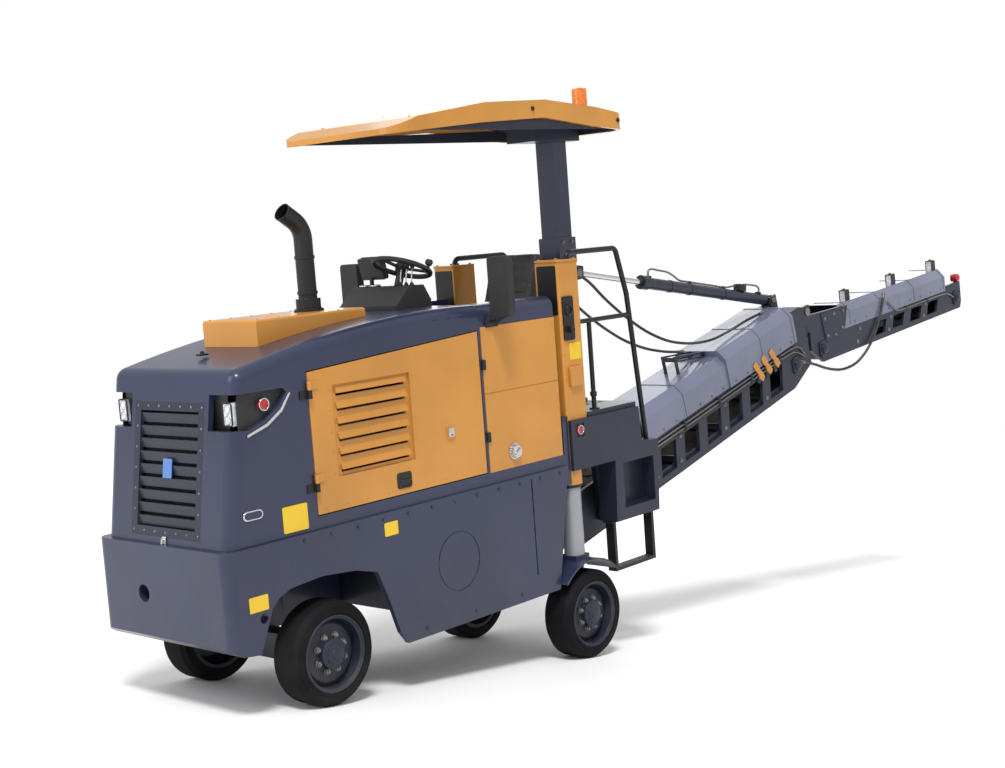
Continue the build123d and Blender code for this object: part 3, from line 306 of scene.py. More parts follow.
def prism(outline: np.ndarray, height: float, chamfer: float = 0.001) -> Surface:
    """Outline on Z = 0 raised to a height, its ends drawn in by a chamfer along the outline's normals."""
    before, after = np.roll(outline, 1, 0), np.roll(outline, -1, 0)
    along = after - before
    normal = np.stack([along[:, 1], -along[:, 0]], -1)
    normal /= np.maximum(np.linalg.norm(normal, axis=1, keepdims=True), 1e-9)
    inner = outline - normal * chamfer
    levels = [(inner, 0.0), (outline, chamfer), (outline, height - chamfer), (inner, height)]
    count = len(outline)
    points = np.concatenate([np.column_stack([flat, np.full(count, z)]) for flat, z in levels])
    faces = grid_faces(len(levels), count, round_columns=True)
    faces.append(tuple(range(count))[::-1])
    faces.append(tuple((len(levels) - 1) * count + k for k in range(count)))
    return Surface(points, faces)


def block(width: float, depth: float, height: float, radius: float = 0.004,
          chamfer: float = 0.0015) -> Surface:
    """Rounded block on Z = 0 about the Z axis."""
    return prism(rounded_outline(width, depth, radius), height, chamfer)


def thin_plate(width: float, depth: float, radius: float = 0.006) -> Surface:
    """Thin sheet-metal plate on Z = 0."""
    return block(width, depth, 0.0022, radius, 0.0006)


def facing(normal: Triple, spin: float = 0.0) -> np.ndarray:
    """4x4 turn that carries Z to a direction, after a spin about Z in degrees."""
    quaternion = Vector(UP).rotation_difference(Vector(normal))
    if abs(normal[2]) < 0.999 and abs(normal[1]) > 0.99:
        base = Matrix(((-normal[1], 0, 0, 0), (0, 0, normal[1], 0), (0, 1, 0, 0), (0, 0, 0, 1)))
        return np.array(base @ Matrix.Rotation(math.radians(spin), 4, "Z"))
    return np.array(quaternion.to_matrix().to_4x4() @ Matrix.Rotation(math.radians(spin), 4, "Z"))


def set_at(surface: Surface, spots: list[Triple], normal: Triple, spin: float = 0.0) -> Surface:
    """Copies of a surface, its Z turned to a direction, at each spot."""
    turned = surface.moved(facing(normal, spin))
    return joined([turned.at(*spot) for spot in spots])


def smooth_path(knots: list[Triple], steps: int = 12) -> np.ndarray:
    """Catmull-Rom curve through knots: each span blends its knots and their neighbours by cubic weights."""
    k = np.array(knots, float)
    k = np.concatenate([2 * k[:1] - k[1:2], k, 2 * k[-1:] - k[-2:-1]])
    t = np.linspace(0, 1, steps, endpoint=False)[None, :, None]
    a, b, c, d = (k[i:len(k) - 3 + i][:, None, :] for i in range(4))
    spans = 0.5 * (2 * b + (c - a) * t + (2 * a - 5 * b + 4 * c - d) * t ** 2
                   + (3 * b - a - 3 * c + d) * t ** 3)
    return np.concatenate([spans.reshape(-1, 3), k[-2:-1]])


def tube(path: np.ndarray, radius: float | np.ndarray, sides: int = 10) -> Surface:
    """Tube round a path: point(t, a) = path(t) + r(t) (n cos a + b sin a), n and b carried without twist.

    Args:
        path: (n, 3) points.
        radius: one radius, or one for each point.
        sides: points round the tube.

    Returns:
        The closed surface.
    """
    along = np.gradient(path, axis=0)
    along /= np.linalg.norm(along, axis=1, keepdims=True)
    normal = np.cross(along[0], UP if abs(along[0][2]) < 0.9 else FORWARD)
    normals = np.empty_like(path)
    for index, direction in enumerate(along):
        normal = normal - direction * normal.dot(direction)
        normal /= np.linalg.norm(normal)
        normals[index] = normal
    binormals = np.cross(along, normals)
    a = np.linspace(0, 2 * math.pi, sides, endpoint=False)
    r = np.broadcast_to(np.asarray(radius, float), len(path))[:, None, None]
    spokes = normals[:, None] * np.cos(a)[None, :, None] + binormals[:, None] * np.sin(a)[None, :, None]
    points = path[:, None] + r * spokes
    faces = grid_faces(len(path), sides, round_columns=True)
    faces.append(tuple(range(sides))[::-1])
    faces.append(tuple((len(path) - 1) * sides + k for k in range(sides)))
    return Surface(points.reshape(-1, 3), faces)


def slab(top: np.ndarray, drop: Triple) -> Surface:
    """Closed slab between a (rows, columns, 3) grid of points and its copy shifted by drop, rims joined."""
    rows, columns, _ = top.shape
    size = rows * columns
    faces = grid_faces(rows, columns)
    faces += [tuple(index + size for index in face[::-1]) for face in faces]
    rim = list(range(columns)) + [r * columns + columns - 1 for r in range(1, rows)]
    rim += [(rows - 1) * columns + c for c in range(columns - 2, -1, -1)]
    rim += [r * columns for r in range(rows - 2, 0, -1)]
    faces += [(b, a, a + size, b + size) for a, b in zip(rim, rim[1:] + rim[:1])]
    flat = top.reshape(-1, 3)
    return Surface(np.concatenate([flat, flat + np.array(drop)]), faces)


def round_about(radius: float, count: int, start: float = 0.0) -> list[Pair]:
    """Points spread evenly round a circle, the first one turned by a start in steps."""
    turn = 2 * math.pi / count * (np.arange(count) + start)
    return [(radius * math.cos(a), radius * math.sin(a)) for a in turn]


def bead(height: float, width: float, corner: float, thick: float, x: float = 0.0) -> Surface:
    """Bead round a rounded rectangle that stands across X."""
    outline = rounded_outline(height, width, corner, 6)
    closed = np.concatenate([outline, outline[:1]])
    return tube(np.column_stack([np.full(len(closed), x), closed[:, 1], closed[:, 0]]), thick, 8)


def bolt(across: float, head: float) -> Surface:
    """Hexagon head on a washer."""
    washer = cylinder(across * 0.66, head * 0.25, 0.0004, 16)
    hexagon = lathe([(across * 0.52, head * 0.2), (across * 0.56, head * 0.4), (across * 0.56, head * 0.85),
                     (across * 0.46, head)], 6)
    return joined([washer, hexagon])


def dome_screw(radius: float) -> Surface:
    """Low round-headed screw."""
    t = np.linspace(0, math.pi / 2, 4)
    return lathe([(radius * math.cos(a), radius * 0.45 * math.sin(a)) for a in t[:-1]] + [(0, radius * 0.45)],
                 10)


def make_mesh(name: str, surface: Surface) -> bpy.types.Object:
    """Object at the origin with the surface as its mesh, doubles merged and faces turned outwards."""
    mesh = bpy.data.meshes.new(name)
    mesh.from_pydata(surface.points.tolist(), [], surface.faces)
    work = bmesh.new()
    work.from_mesh(mesh)
    bmesh.ops.remove_doubles(work, verts=work.verts, dist=1e-6)
    bmesh.ops.dissolve_degenerate(work, edges=work.edges, dist=1e-7)
    bmesh.ops.recalc_face_normals(work, faces=work.faces)
    work.to_mesh(mesh)
    work.free()
    mesh.polygons.foreach_set("use_smooth", np.ones(len(mesh.polygons), bool))
    mesh.set_sharp_from_angle(angle=math.radians(32))
    made = bpy.data.objects.new(name, mesh)
    bpy.context.scene.collection.objects.link(made)
    return made


# ------------------------------------------------------------------ shader groups
class Tree:
    """A node tree with short ways to add and join nodes."""

    def __init__(self, tree: bpy.types.NodeTree) -> None:
        """Keep the tree."""
        self.tree = tree

    def node(self, kind: str, inputs: dict | None = None, **settings: object) -> bpy.types.Node:
        """New node with its settings and inputs; an input that is a socket is linked.

        Args:
            kind: node type's name without its Shader prefix.
            inputs: values or sockets by input name or number.
            **settings: attributes of the node.

        Returns:
            The node.
        """
        made = self.tree.nodes.new("ShaderNode" + kind if not kind.startswith("Node") else kind)
        for key, value in settings.items():
            setattr(made, key, value)
        for key, value in (inputs or {}).items():
            if isinstance(value, bpy.types.NodeSocket):
                self.tree.links.new(value, made.inputs[key])
            else:
                made.inputs[key].default_value = value
        return made

    def math(self, operation: str, a: object, b: object = 0.0, clamp: bool = False) -> bpy.types.NodeSocket:
        """Result of a Math node."""
        return self.node("Math", {0: a, 1: b}, operation=operation, use_clamp=clamp).outputs[0]

    def remap(self, value: object, low: float, high: float, to_low: float = 0.0,
              to_high: float = 1.0) -> bpy.types.NodeSocket:
        """Value mapped smoothly from one range to another."""
        made = self.node("MapRange", {"Value": value, "From Min": low, "From Max": high, "To Min": to_low,
                                      "To Max": to_high}, interpolation_type="SMOOTHSTEP")
        return made.outputs[0]

    def mix(self, share: object, a: object, b: object) -> bpy.types.NodeSocket:
        """Colour a going over to colour b by a share."""
        made = self.node("Mix", data_type="RGBA")
        for socket, value in ((made.inputs[0], share), (made.inputs[6], a), (made.inputs[7], b)):
            if isinstance(value, bpy.types.NodeSocket):
                self.tree.links.new(value, socket)
            else:
                socket.default_value = value
        return made.outputs[2]


def new_group(name: str, inputs: list[tuple[str, float]], outputs: list[str]) -> tuple[Tree, object, object]:
    """Empty shader group with float inputs and outputs.

    Args:
        name: group's name.
        inputs: (name, default) pairs.
        outputs: names.

    Returns:
        Its tree, its input node and its output node.
    """
    group = bpy.data.node_groups.new(name, "ShaderNodeTree")
    for label, value in inputs:
        group.interface.new_socket(label, in_out="INPUT", socket_type="NodeSocketFloat").default_value = value
    for label in outputs:
        group.interface.new_socket(label, in_out="OUTPUT", socket_type="NodeSocketFloat")
    tree = Tree(group)
    return tree, tree.node("NodeGroupInput"), tree.node("NodeGroupOutput")


def edge_wear_group() -> bpy.types.NodeTree:
    """Mask of worn edges: where a rounded normal leaves the face's own, broken up by noise."""
    tree, inputs, outputs = new_group("edge_wear", [("Radius", 0.004), ("Amount", 0.5), ("Scale", 30.0)],
                                      ["Mask"])
    rounded = tree.node("Bevel", {"Radius": inputs.outputs["Radius"]}, samples=4)
    face = tree.node("NewGeometry")
    product = tree.node("VectorMath", {0: rounded.outputs[0], 1: face.outputs["Normal"]},
                        operation="DOT_PRODUCT")
    edge = tree.remap(product.outputs["Value"], 0.995, 0.86)
    noise = tree.node("TexNoise", {"Vector": tree.node("TexCoord").outputs["Object"],
                                   "Scale": inputs.outputs["Scale"], "Detail": 5.0, "Roughness": 0.7})
    broken = tree.remap(noise.outputs[0], 0.48, 0.66)
    mask = tree.math("MULTIPLY", tree.math("MULTIPLY", edge, broken), inputs.outputs["Amount"], clamp=True)
    tree.tree.links.new(mask, outputs.inputs["Mask"])
    return tree.tree


def dust_group() -> bpy.types.NodeTree:
    """Mask of road dust: thick near the ground, thin above, in cloudy patches."""
    tree, inputs, outputs = new_group("road_dust", [("Top", 1.1), ("Amount", 0.5), ("Scale", 3.0)], ["Mask"])
    place = tree.node("TexCoord").outputs["Object"]
    height = tree.node("SeparateXYZ", {0: place}).outputs["Z"]
    fade = tree.math("SUBTRACT", 1.0, tree.math("DIVIDE", height, inputs.outputs["Top"]), clamp=True)
    cloud = tree.node("TexNoise", {"Vector": place, "Scale": inputs.outputs["Scale"], "Detail": 7.0,
                                   "Roughness": 0.62})
    patch = tree.remap(cloud.outputs[0], 0.38, 0.72)
    spread = tree.math("ADD", tree.math("MULTIPLY", fade, 0.85), 0.10)
    mask = tree.math("MULTIPLY", tree.math("MULTIPLY", spread, patch), inputs.outputs["Amount"], clamp=True)
    tree.tree.links.new(mask, outputs.inputs["Mask"])
    return tree.tree


def grain_group() -> bpy.types.NodeTree:
    """Height of a fine grain: noise of one scale over noise of a coarser one."""
    tree, inputs, outputs = new_group("fine_grain", [("Scale", 600.0), ("Coarse", 0.4)], ["Height"])
    place = tree.node("TexCoord").outputs["Object"]
    fine = tree.node("TexNoise", {"Vector": place, "Scale": inputs.outputs["Scale"], "Detail": 3.0})
    coarse_scale = tree.math("MULTIPLY", inputs.outputs["Scale"], 0.12)
    coarse = tree.node("TexNoise", {"Vector": place, "Scale": coarse_scale, "Detail": 2.0})
    share = tree.math("MULTIPLY", coarse.outputs[0], inputs.outputs["Coarse"])
    tree.tree.links.new(tree.math("ADD", fine.outputs[0], share), outputs.inputs["Height"])
    return tree.tree


def mottle_group() -> bpy.types.NodeTree:
    """Slow change of shade over a panel, from 0 to 1 about one half."""
    tree, inputs, outputs = new_group("mottle", [("Scale", 1.6)], ["Shade"])
    place = tree.node("TexCoord").outputs["Object"]
    noise = tree.node("TexNoise", {"Vector": place, "Scale": inputs.outputs["Scale"], "Detail": 4.0})
    tree.tree.links.new(tree.remap(noise.outputs[0], 0.3, 0.7), outputs.inputs["Shade"])
    return tree.tree


@dataclass(frozen=True)
class Groups:
    """The shared shader groups."""

    edge: bpy.types.NodeTree
    dust: bpy.types.NodeTree
    grain: bpy.types.NodeTree
    mottle: bpy.types.NodeTree

    @classmethod
    def make(cls) -> "Groups":
        """Build each group once."""
        return cls(edge_wear_group(), dust_group(), grain_group(), mottle_group())


DUST: Triple = (0.34, 0.31, 0.27)


def shade(colour: Triple, share: float) -> tuple[float, float, float, float]:
    """Colour scaled by a share, with alpha."""
    return (colour[0] * share, colour[1] * share, colour[2] * share, 1.0)


@dataclass(frozen=True)
class Finish:
    """A solid finish: base colour with mottling, edge wear and dust, grain as bump, and rounded edges."""

    colour: Triple
    rough: float
    metallic: float = 0.0
    coat: float = 0.0
    worn: Triple = (0.30, 0.29, 0.28)
    wear: float = 0.35
    edge_radius: float = 0.004
    dust: float = 0.5
    dust_top: float = 1.1
    grain_scale: float = 420.0
    bump: float = 0.02
    contrast: float = 0.10
    gloss: float = 0.5

    def material(self, name: str, groups: Groups) -> bpy.types.Material:
        """Material of this finish.

        Args:
            name: its name.
            groups: the shared groups.

        Returns:
            The material.
        """
        made = bpy.data.materials.new(name)
        made.use_nodes = True
        made.diffuse_color = (*self.colour, 1.0)
        tree = Tree(made.node_tree)
        shader = made.node_tree.nodes["Principled BSDF"]
        mottle = tree.node("Group", node_tree=groups.mottle).outputs[0]
        base = tree.mix(mottle, shade(self.colour, 1 - self.contrast), shade(self.colour, 1 + self.contrast))
        wear = tree.node("Group", node_tree=groups.edge)
        wear.inputs["Radius"].default_value = self.edge_radius
        wear.inputs["Amount"].default_value = self.wear
        dust = tree.node("Group", node_tree=groups.dust)
        dust.inputs["Top"].default_value = self.dust_top
        dust.inputs["Amount"].default_value = self.dust
        colour = tree.mix(dust.outputs[0], tree.mix(wear.outputs[0], base, (*self.worn, 1.0)), (*DUST, 1.0))
        rough = tree.math("ADD", tree.remap(mottle, 0, 1, self.rough - 0.04, self.rough + 0.04),
                          tree.math("MULTIPLY", dust.outputs[0], 0.35), clamp=True)
        grain = tree.node("Group", node_tree=groups.grain)
        grain.inputs["Scale"].default_value = self.grain_scale
        rounded = tree.node("Bevel", {"Radius": self.edge_radius}, samples=4)
        bump = tree.node("Bump", {"Strength": self.bump, "Distance": 0.002, "Height": grain.outputs[0],
                                  "Normal": rounded.outputs[0]})
        links = made.node_tree.links
        links.new(colour, shader.inputs["Base Color"])
        links.new(rough, shader.inputs["Roughness"])
        links.new(bump.outputs[0], shader.inputs["Normal"])
        shader.inputs["Metallic"].default_value = self.metallic
        shader.inputs["Coat Weight"].default_value = self.coat
        shader.inputs["Specular IOR Level"].default_value = self.gloss
        shader.inputs["Coat Roughness"].default_value = 0.12
        return made


@dataclass(frozen=True)
class Lens:
    """A moulded lens: glossy, tinted, with a fine rib pattern."""

    colour: Triple
    rib_scale: float = 41.4

    def material(self, name: str, groups: Groups) -> bpy.types.Material:
        """Material of the lens.

        Args:
            name: its name.
            groups: the shared groups.

        Returns:
            The material.
        """
        made = bpy.data.materials.new(name)
        made.use_nodes = True
        made.diffuse_color = (*self.colour, 1.0)
        tree = Tree(made.node_tree)
        shader = made.node_tree.nodes["Principled BSDF"]
        place = tree.node("TexCoord").outputs["Object"]
        ribs = tree.node("TexWave", {"Vector": place, "Scale": self.rib_scale, "Distortion": 0.0},
                         bands_direction="Z")
        mottle = tree.node("Group", node_tree=groups.mottle)
        mottle.inputs["Scale"].default_value = 40.0
        colour = tree.mix(mottle.outputs[0], shade(self.colour, 0.8), shade(self.colour, 1.15))
        bump = tree.node("Bump", {"Strength": 0.25, "Distance": 0.001, "Height": ribs.outputs["Fac"]})
        links = made.node_tree.links
        links.new(colour, shader.inputs["Base Color"])
        links.new(bump.outputs[0], shader.inputs["Normal"])
        shader.inputs["Roughness"].default_value = 0.08
        shader.inputs["Coat Weight"].default_value = 0.6
        return made


FINISHES: dict[Slot, Finish | Lens] = {
    Slot.BODY: Finish((0.027, 0.033, 0.074), 0.32, coat=0.45, gloss=0.3, wear=0.3, dust=0.05),
    Slot.YELLOW: Finish((0.60, 0.262, 0.040), 0.34, coat=0.35, gloss=0.4, worn=(0.30, 0.22, 0.14), wear=0.25,
                        dust=0.06),
    Slot.DARK: Finish((0.019, 0.023, 0.042), 0.42, coat=0.15, gloss=0.35, wear=0.35, dust=0.10),
    Slot.BLACK: Finish((0.010, 0.010, 0.012), 0.40, coat=0.1, gloss=0.35, wear=0.3, dust=0.10),
    # Conveyor covers: this pale blue-grey is a painted sky reflection; their own paint is dark slate like the
    # body.
    Slot.PALE: Finish((0.165, 0.178, 0.265), 0.30, coat=0.6, wear=0.25, dust=0.08),
    Slot.COLUMN: Finish((0.36, 0.37, 0.40), 0.34, metallic=0.2, wear=0.3),
    Slot.RIM: Finish((0.022, 0.026, 0.044), 0.42, gloss=0.35, wear=0.4, dust=0.12, dust_top=0.9),
    Slot.TYRE: Finish((0.008, 0.008, 0.010), 0.74, gloss=0.12, worn=(0.05, 0.048, 0.047), wear=0.3, dust=0.05,
                      dust_top=0.8, grain_scale=260.0, bump=0.22, edge_radius=0.006),
    Slot.BELT: Finish((0.020, 0.020, 0.020), 0.72, worn=(0.12, 0.11, 0.1), dust=0.7, dust_top=6.0,
                      grain_scale=300.0,
                      bump=0.2),
    Slot.HOSE: Finish((0.017, 0.017, 0.018), 0.62, worn=(0.08, 0.08, 0.08), wear=0.2, dust=0.4, dust_top=6.0,
                      grain_scale=500.0, bump=0.12),
    Slot.STEEL: Finish((0.24, 0.225, 0.21), 0.42, metallic=0.85, worn=(0.55, 0.53, 0.5), wear=0.8, dust=0.7,
                       dust_top=0.9, grain_scale=150.0, bump=0.25, contrast=0.25),
    Slot.ROD: Finish((0.72, 0.72, 0.74), 0.12, metallic=1.0, wear=0.0, dust=0.15, bump=0.005, contrast=0.04),
    Slot.TRIM: Finish((0.66, 0.67, 0.69), 0.18, metallic=1.0, wear=0.1, dust=0.2, bump=0.01, contrast=0.05),
    Slot.PLASTIC: Finish((0.018, 0.018, 0.020), 0.55, worn=(0.07, 0.07, 0.07), wear=0.3, grain_scale=700.0,
                         bump=0.14),
    Slot.VINYL: Finish((0.016, 0.016, 0.018), 0.5, worn=(0.05, 0.05, 0.05), wear=0.1, dust=0.2, dust_top=3.0,
                       grain_scale=380.0, bump=0.3),
    Slot.CLEAR: Lens((0.72, 0.74, 0.78)),
    Slot.RED: Lens((0.45, 0.012, 0.012)),
    Slot.AMBER: Lens((0.85, 0.23, 0.012)),
}

PLATES: dict[str, Finish] = {
    "sign_yellow": Finish((0.86, 0.56, 0.008), 0.36, coat=0.3, wear=0.1, dust=0.03, bump=0.01, contrast=0.03),
    "plate_blue": Finish((0.085, 0.215, 0.54), 0.36, coat=0.3, wear=0.1, dust=0.03, bump=0.01, contrast=0.03),
}


class Workshop:
    """The materials, one for each slot and plate."""

    def __init__(self, frame: dict) -> None:
        """Build the groups and the materials, and dress every node of the frame.
        """
        groups = Groups.make()
        self.materials = {slot: finish.material(slot.value, groups) for slot, finish in FINISHES.items()}
        self.plates = {name: finish.material(name, groups) for name, finish in PLATES.items()}
        for part in frame["record"]["subparts"]:
            mesh = frame["nodes"][part["node"]].data
            mesh.materials.clear()
            mesh.materials.append(self.materials[Slot(part["material_slot"])])


@dataclass
class Assembly:
    """What every sub-assembly has: the workshop's materials, and the places."""

    shop: Workshop
    places: Places

    def fit(self, name: str, surfaces: list[Surface], slot: Slot, place: Place | None = None,
            body: str = "chassis", plate: str = "") -> None:
        """Make one piece and fit it on its body.

        Args:
            name: piece's name.
            surfaces: its surfaces.
            slot: finish.
            place: the frame that they are drawn in, the chassis's own if none is given.
            body: body that it rides on.
            plate: colour of a plate that differs from its slot's paint, by its name in PLATES.
        """
        place = place or self.places.chassis
        made = make_mesh(name, joined(surfaces).moved(place.matrix))
        made.data.materials.append(self.shop.plates[plate] if plate else self.shop.materials[slot])
        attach(made, body)
        log.info("%s rides on %s, %d faces", name, body, len(made.data.polygons))


# ------------------------------------------------------------------ running gear
@dataclass
class Wheels(Assembly):
    """Wheel nuts, hub caps and moulded rings of the four wheels."""

    wheelbase: float = 2.110
    rear_drop: float = 0.298
    front_y: float = 0.472
    rear_y: float = 0.487
    bolt_circle: float = 0.095
    bolt_count: int = 8
    nut_face: float = 0.052
    hub_face: float = 0.096
    cap_screw_circle: float = 0.042
    cap_screw_count: int = 5
    tyre_half: float = 0.095
    moulded_rings: tuple[Pair, ...] = ((0.216, 0.0045), (0.244, 0.003))
    lock_ring: Pair = (0.197, 0.006)

    def place(self, name: str) -> Place:
        """Own frame of a wheel: Y outwards from its middle."""
        end, side = name.split("_")
        height = Places.wheel_centre
        x, z = (0.0, height) if end == "front" else (-self.wheelbase, height - self.rear_drop)
        y = self.front_y if end == "front" else self.rear_y
        place = self.places.chassis.turned(x, y if side == "left" else -y, z)
        if side == "left":
            return place
        return Place(place.matrix @ np.array(Matrix.Rotation(math.pi, 4, "Z")))

    def nuts(self) -> list[Surface]:
        """Nuts on studs, round the hub's face."""
        spots = [(x, self.nut_face, z) for x, z in round_about(self.bolt_circle, self.bolt_count, 0.5)]
        stud = cylinder(0.0075, 0.026, 0.0015, 12)
        return [set_at(bolt(0.030, 0.018), spots, LEFT), set_at(stud, spots, LEFT)]

    def cap(self) -> list[Surface]:
        """Hub cap with a stepped rim, a centre boss and small screws."""
        dome = lathe([(0.056, -0.004), (0.058, 0.002), (0.052, 0.006), (0.030, 0.008), (0.028, 0.013),
                      (0.020, 0.016), (0, 0.016)], 32)
        spots = [(x, self.hub_face + 0.005, z)
                 for x, z in round_about(self.cap_screw_circle, self.cap_screw_count)]
        return [set_at(dome, [(0, self.hub_face, 0)], LEFT), set_at(dome_screw(0.005), spots, LEFT)]

    def sidewalls(self) -> list[Surface]:
        """Moulded rings on both faces of the tyre."""
        rings = [ring(radius, thick, 72, 8) for radius, thick in self.moulded_rings]
        return [set_at(item, [(0, side * (self.tyre_half - 0.001), 0)], LEFT) for item in rings
                for side in (1, -1)]

    def build(self) -> None:
        """Dress each wheel."""
        for name in WHEELS:
            place, body = self.place(name), name + "_wheel"
            self.fit(name + "_nuts", self.nuts(), Slot.STEEL, place, body)
            self.fit(name + "_hub_cap", self.cap(), Slot.RIM, place, body)
            self.fit(name + "_sidewall_rings", self.sidewalls(), Slot.TYRE, place, body)
            lock = set_at(ring(*self.lock_ring, 72, 8), [(0, self.tyre_half - 0.003, 0)], LEFT)
            self.fit(name + "_lock_ring", [lock], Slot.RIM, place, body)


@dataclass
class LiftingColumns(Assembly):
    """Fittings of the rear lifting columns and their masts."""

    column_x: float = -2.110
    column_y: float = 0.455
    sleeve_low: float = 0.790
    wiper_h: float = 0.022
    mast_x: float = -2.150
    mast_y: float = 0.432
    mast_half_l: float = 0.100
    mast_half_w: float = 0.088
    mast_low: float = 0.880
    mast_top: float = 2.160
    lid_t: float = 0.014
    dark_plate_z: float = 1.990
    bracket_z: float = 1.815
    plate_z: float = 1.610
    case_z: float = 1.455

    def build(self) -> None:
        """Dress both columns and masts."""
        for side, sign, outwards in SIDES:
            self.column(side, sign)
            self.mast_shell(side, sign, outwards)
            self.mast_fittings(side, sign, outwards)

    def column(self, side: str, sign: float) -> None:
        """Wiper ring at the foot of the column's sleeve."""
        wiper = lathe([(0.0655, 0), (0.074, 0.002), (0.077, 0.012), (0.077, self.wiper_h)], 40)
        spot = (self.column_x, sign * self.column_y, self.sleeve_low - self.wiper_h)
        self.fit(side + "_column_wiper", [wiper.at(*spot)], Slot.BLACK)

    def mast_shell(self, side: str, sign: float, outwards: Triple) -> None:
        """Bolted lid, screws down the outer face and a dark plate that darkens the front face."""
        x, y = self.mast_x, sign * self.mast_y
        lid = block(2 * self.mast_half_l + 0.012, 2 * self.mast_half_w + 0.012, self.lid_t, 0.016, 0.003)
        corners = [(x + dx, y + dy, self.mast_top + self.lid_t) for dx in (-0.08, 0.08)
                   for dy in (-0.07, 0.07)]
        self.fit(side + "_mast_lid", [lid.at(x, y, self.mast_top), set_at(bolt(0.014, 0.007), corners, UP)],
                 Slot.YELLOW)
        outer = y + sign * self.mast_half_w
        heights = np.linspace(self.mast_low + 0.08, self.mast_top - 0.08, 8)
        screws = [(x + dx, outer, z) for z in heights for dx in (-0.082, 0.082)]
        self.fit(side + "_mast_screws", [set_at(dome_screw(0.007), screws, outwards)], Slot.YELLOW)
        # Dark plate over the mast's front face, darkening it.
        guard = block(0.300, 0.150, 0.003, 0.010, 0.001)
        self.fit(side + "_mast_front_dark", [set_at(guard, [(x + self.mast_half_l, y, self.dark_plate_z)], FORWARD)],
                 Slot.BLACK)

    def mast_fittings(self, side: str, sign: float, outwards: Triple) -> None:
        """Bracket with knob and grip, blank plate and a small case on the outer face."""
        outer = sign * (self.mast_y + self.mast_half_w)
        x, z = self.mast_x + 0.03, self.bracket_z
        cheek = set_at(block(0.10, 0.27, 0.012, 0.012, 0.002), [(x, outer, z)], outwards)
        knob = set_at(cylinder(0.020, 0.030, 0.005), [(x, outer + sign * 0.012, z - 0.070)], outwards)
        grip = set_at(ring(0.030, 0.006, 24, 8), [(x, outer + sign * 0.016, z + 0.050)], outwards)
        self.fit(side + "_mast_bracket", [cheek, knob, grip], Slot.BLACK)
        plate = set_at(thin_plate(0.11, 0.105), [(self.mast_x - 0.02, outer, self.plate_z)], outwards)
        self.fit(side + "_mast_plate", [plate], Slot.YELLOW, plate="sign_yellow")
        case = set_at(block(0.115, 0.125, 0.022, 0.010, 0.004), [(self.mast_x, outer, self.case_z)], outwards)
        self.fit(side + "_mast_case", [case], Slot.YELLOW)


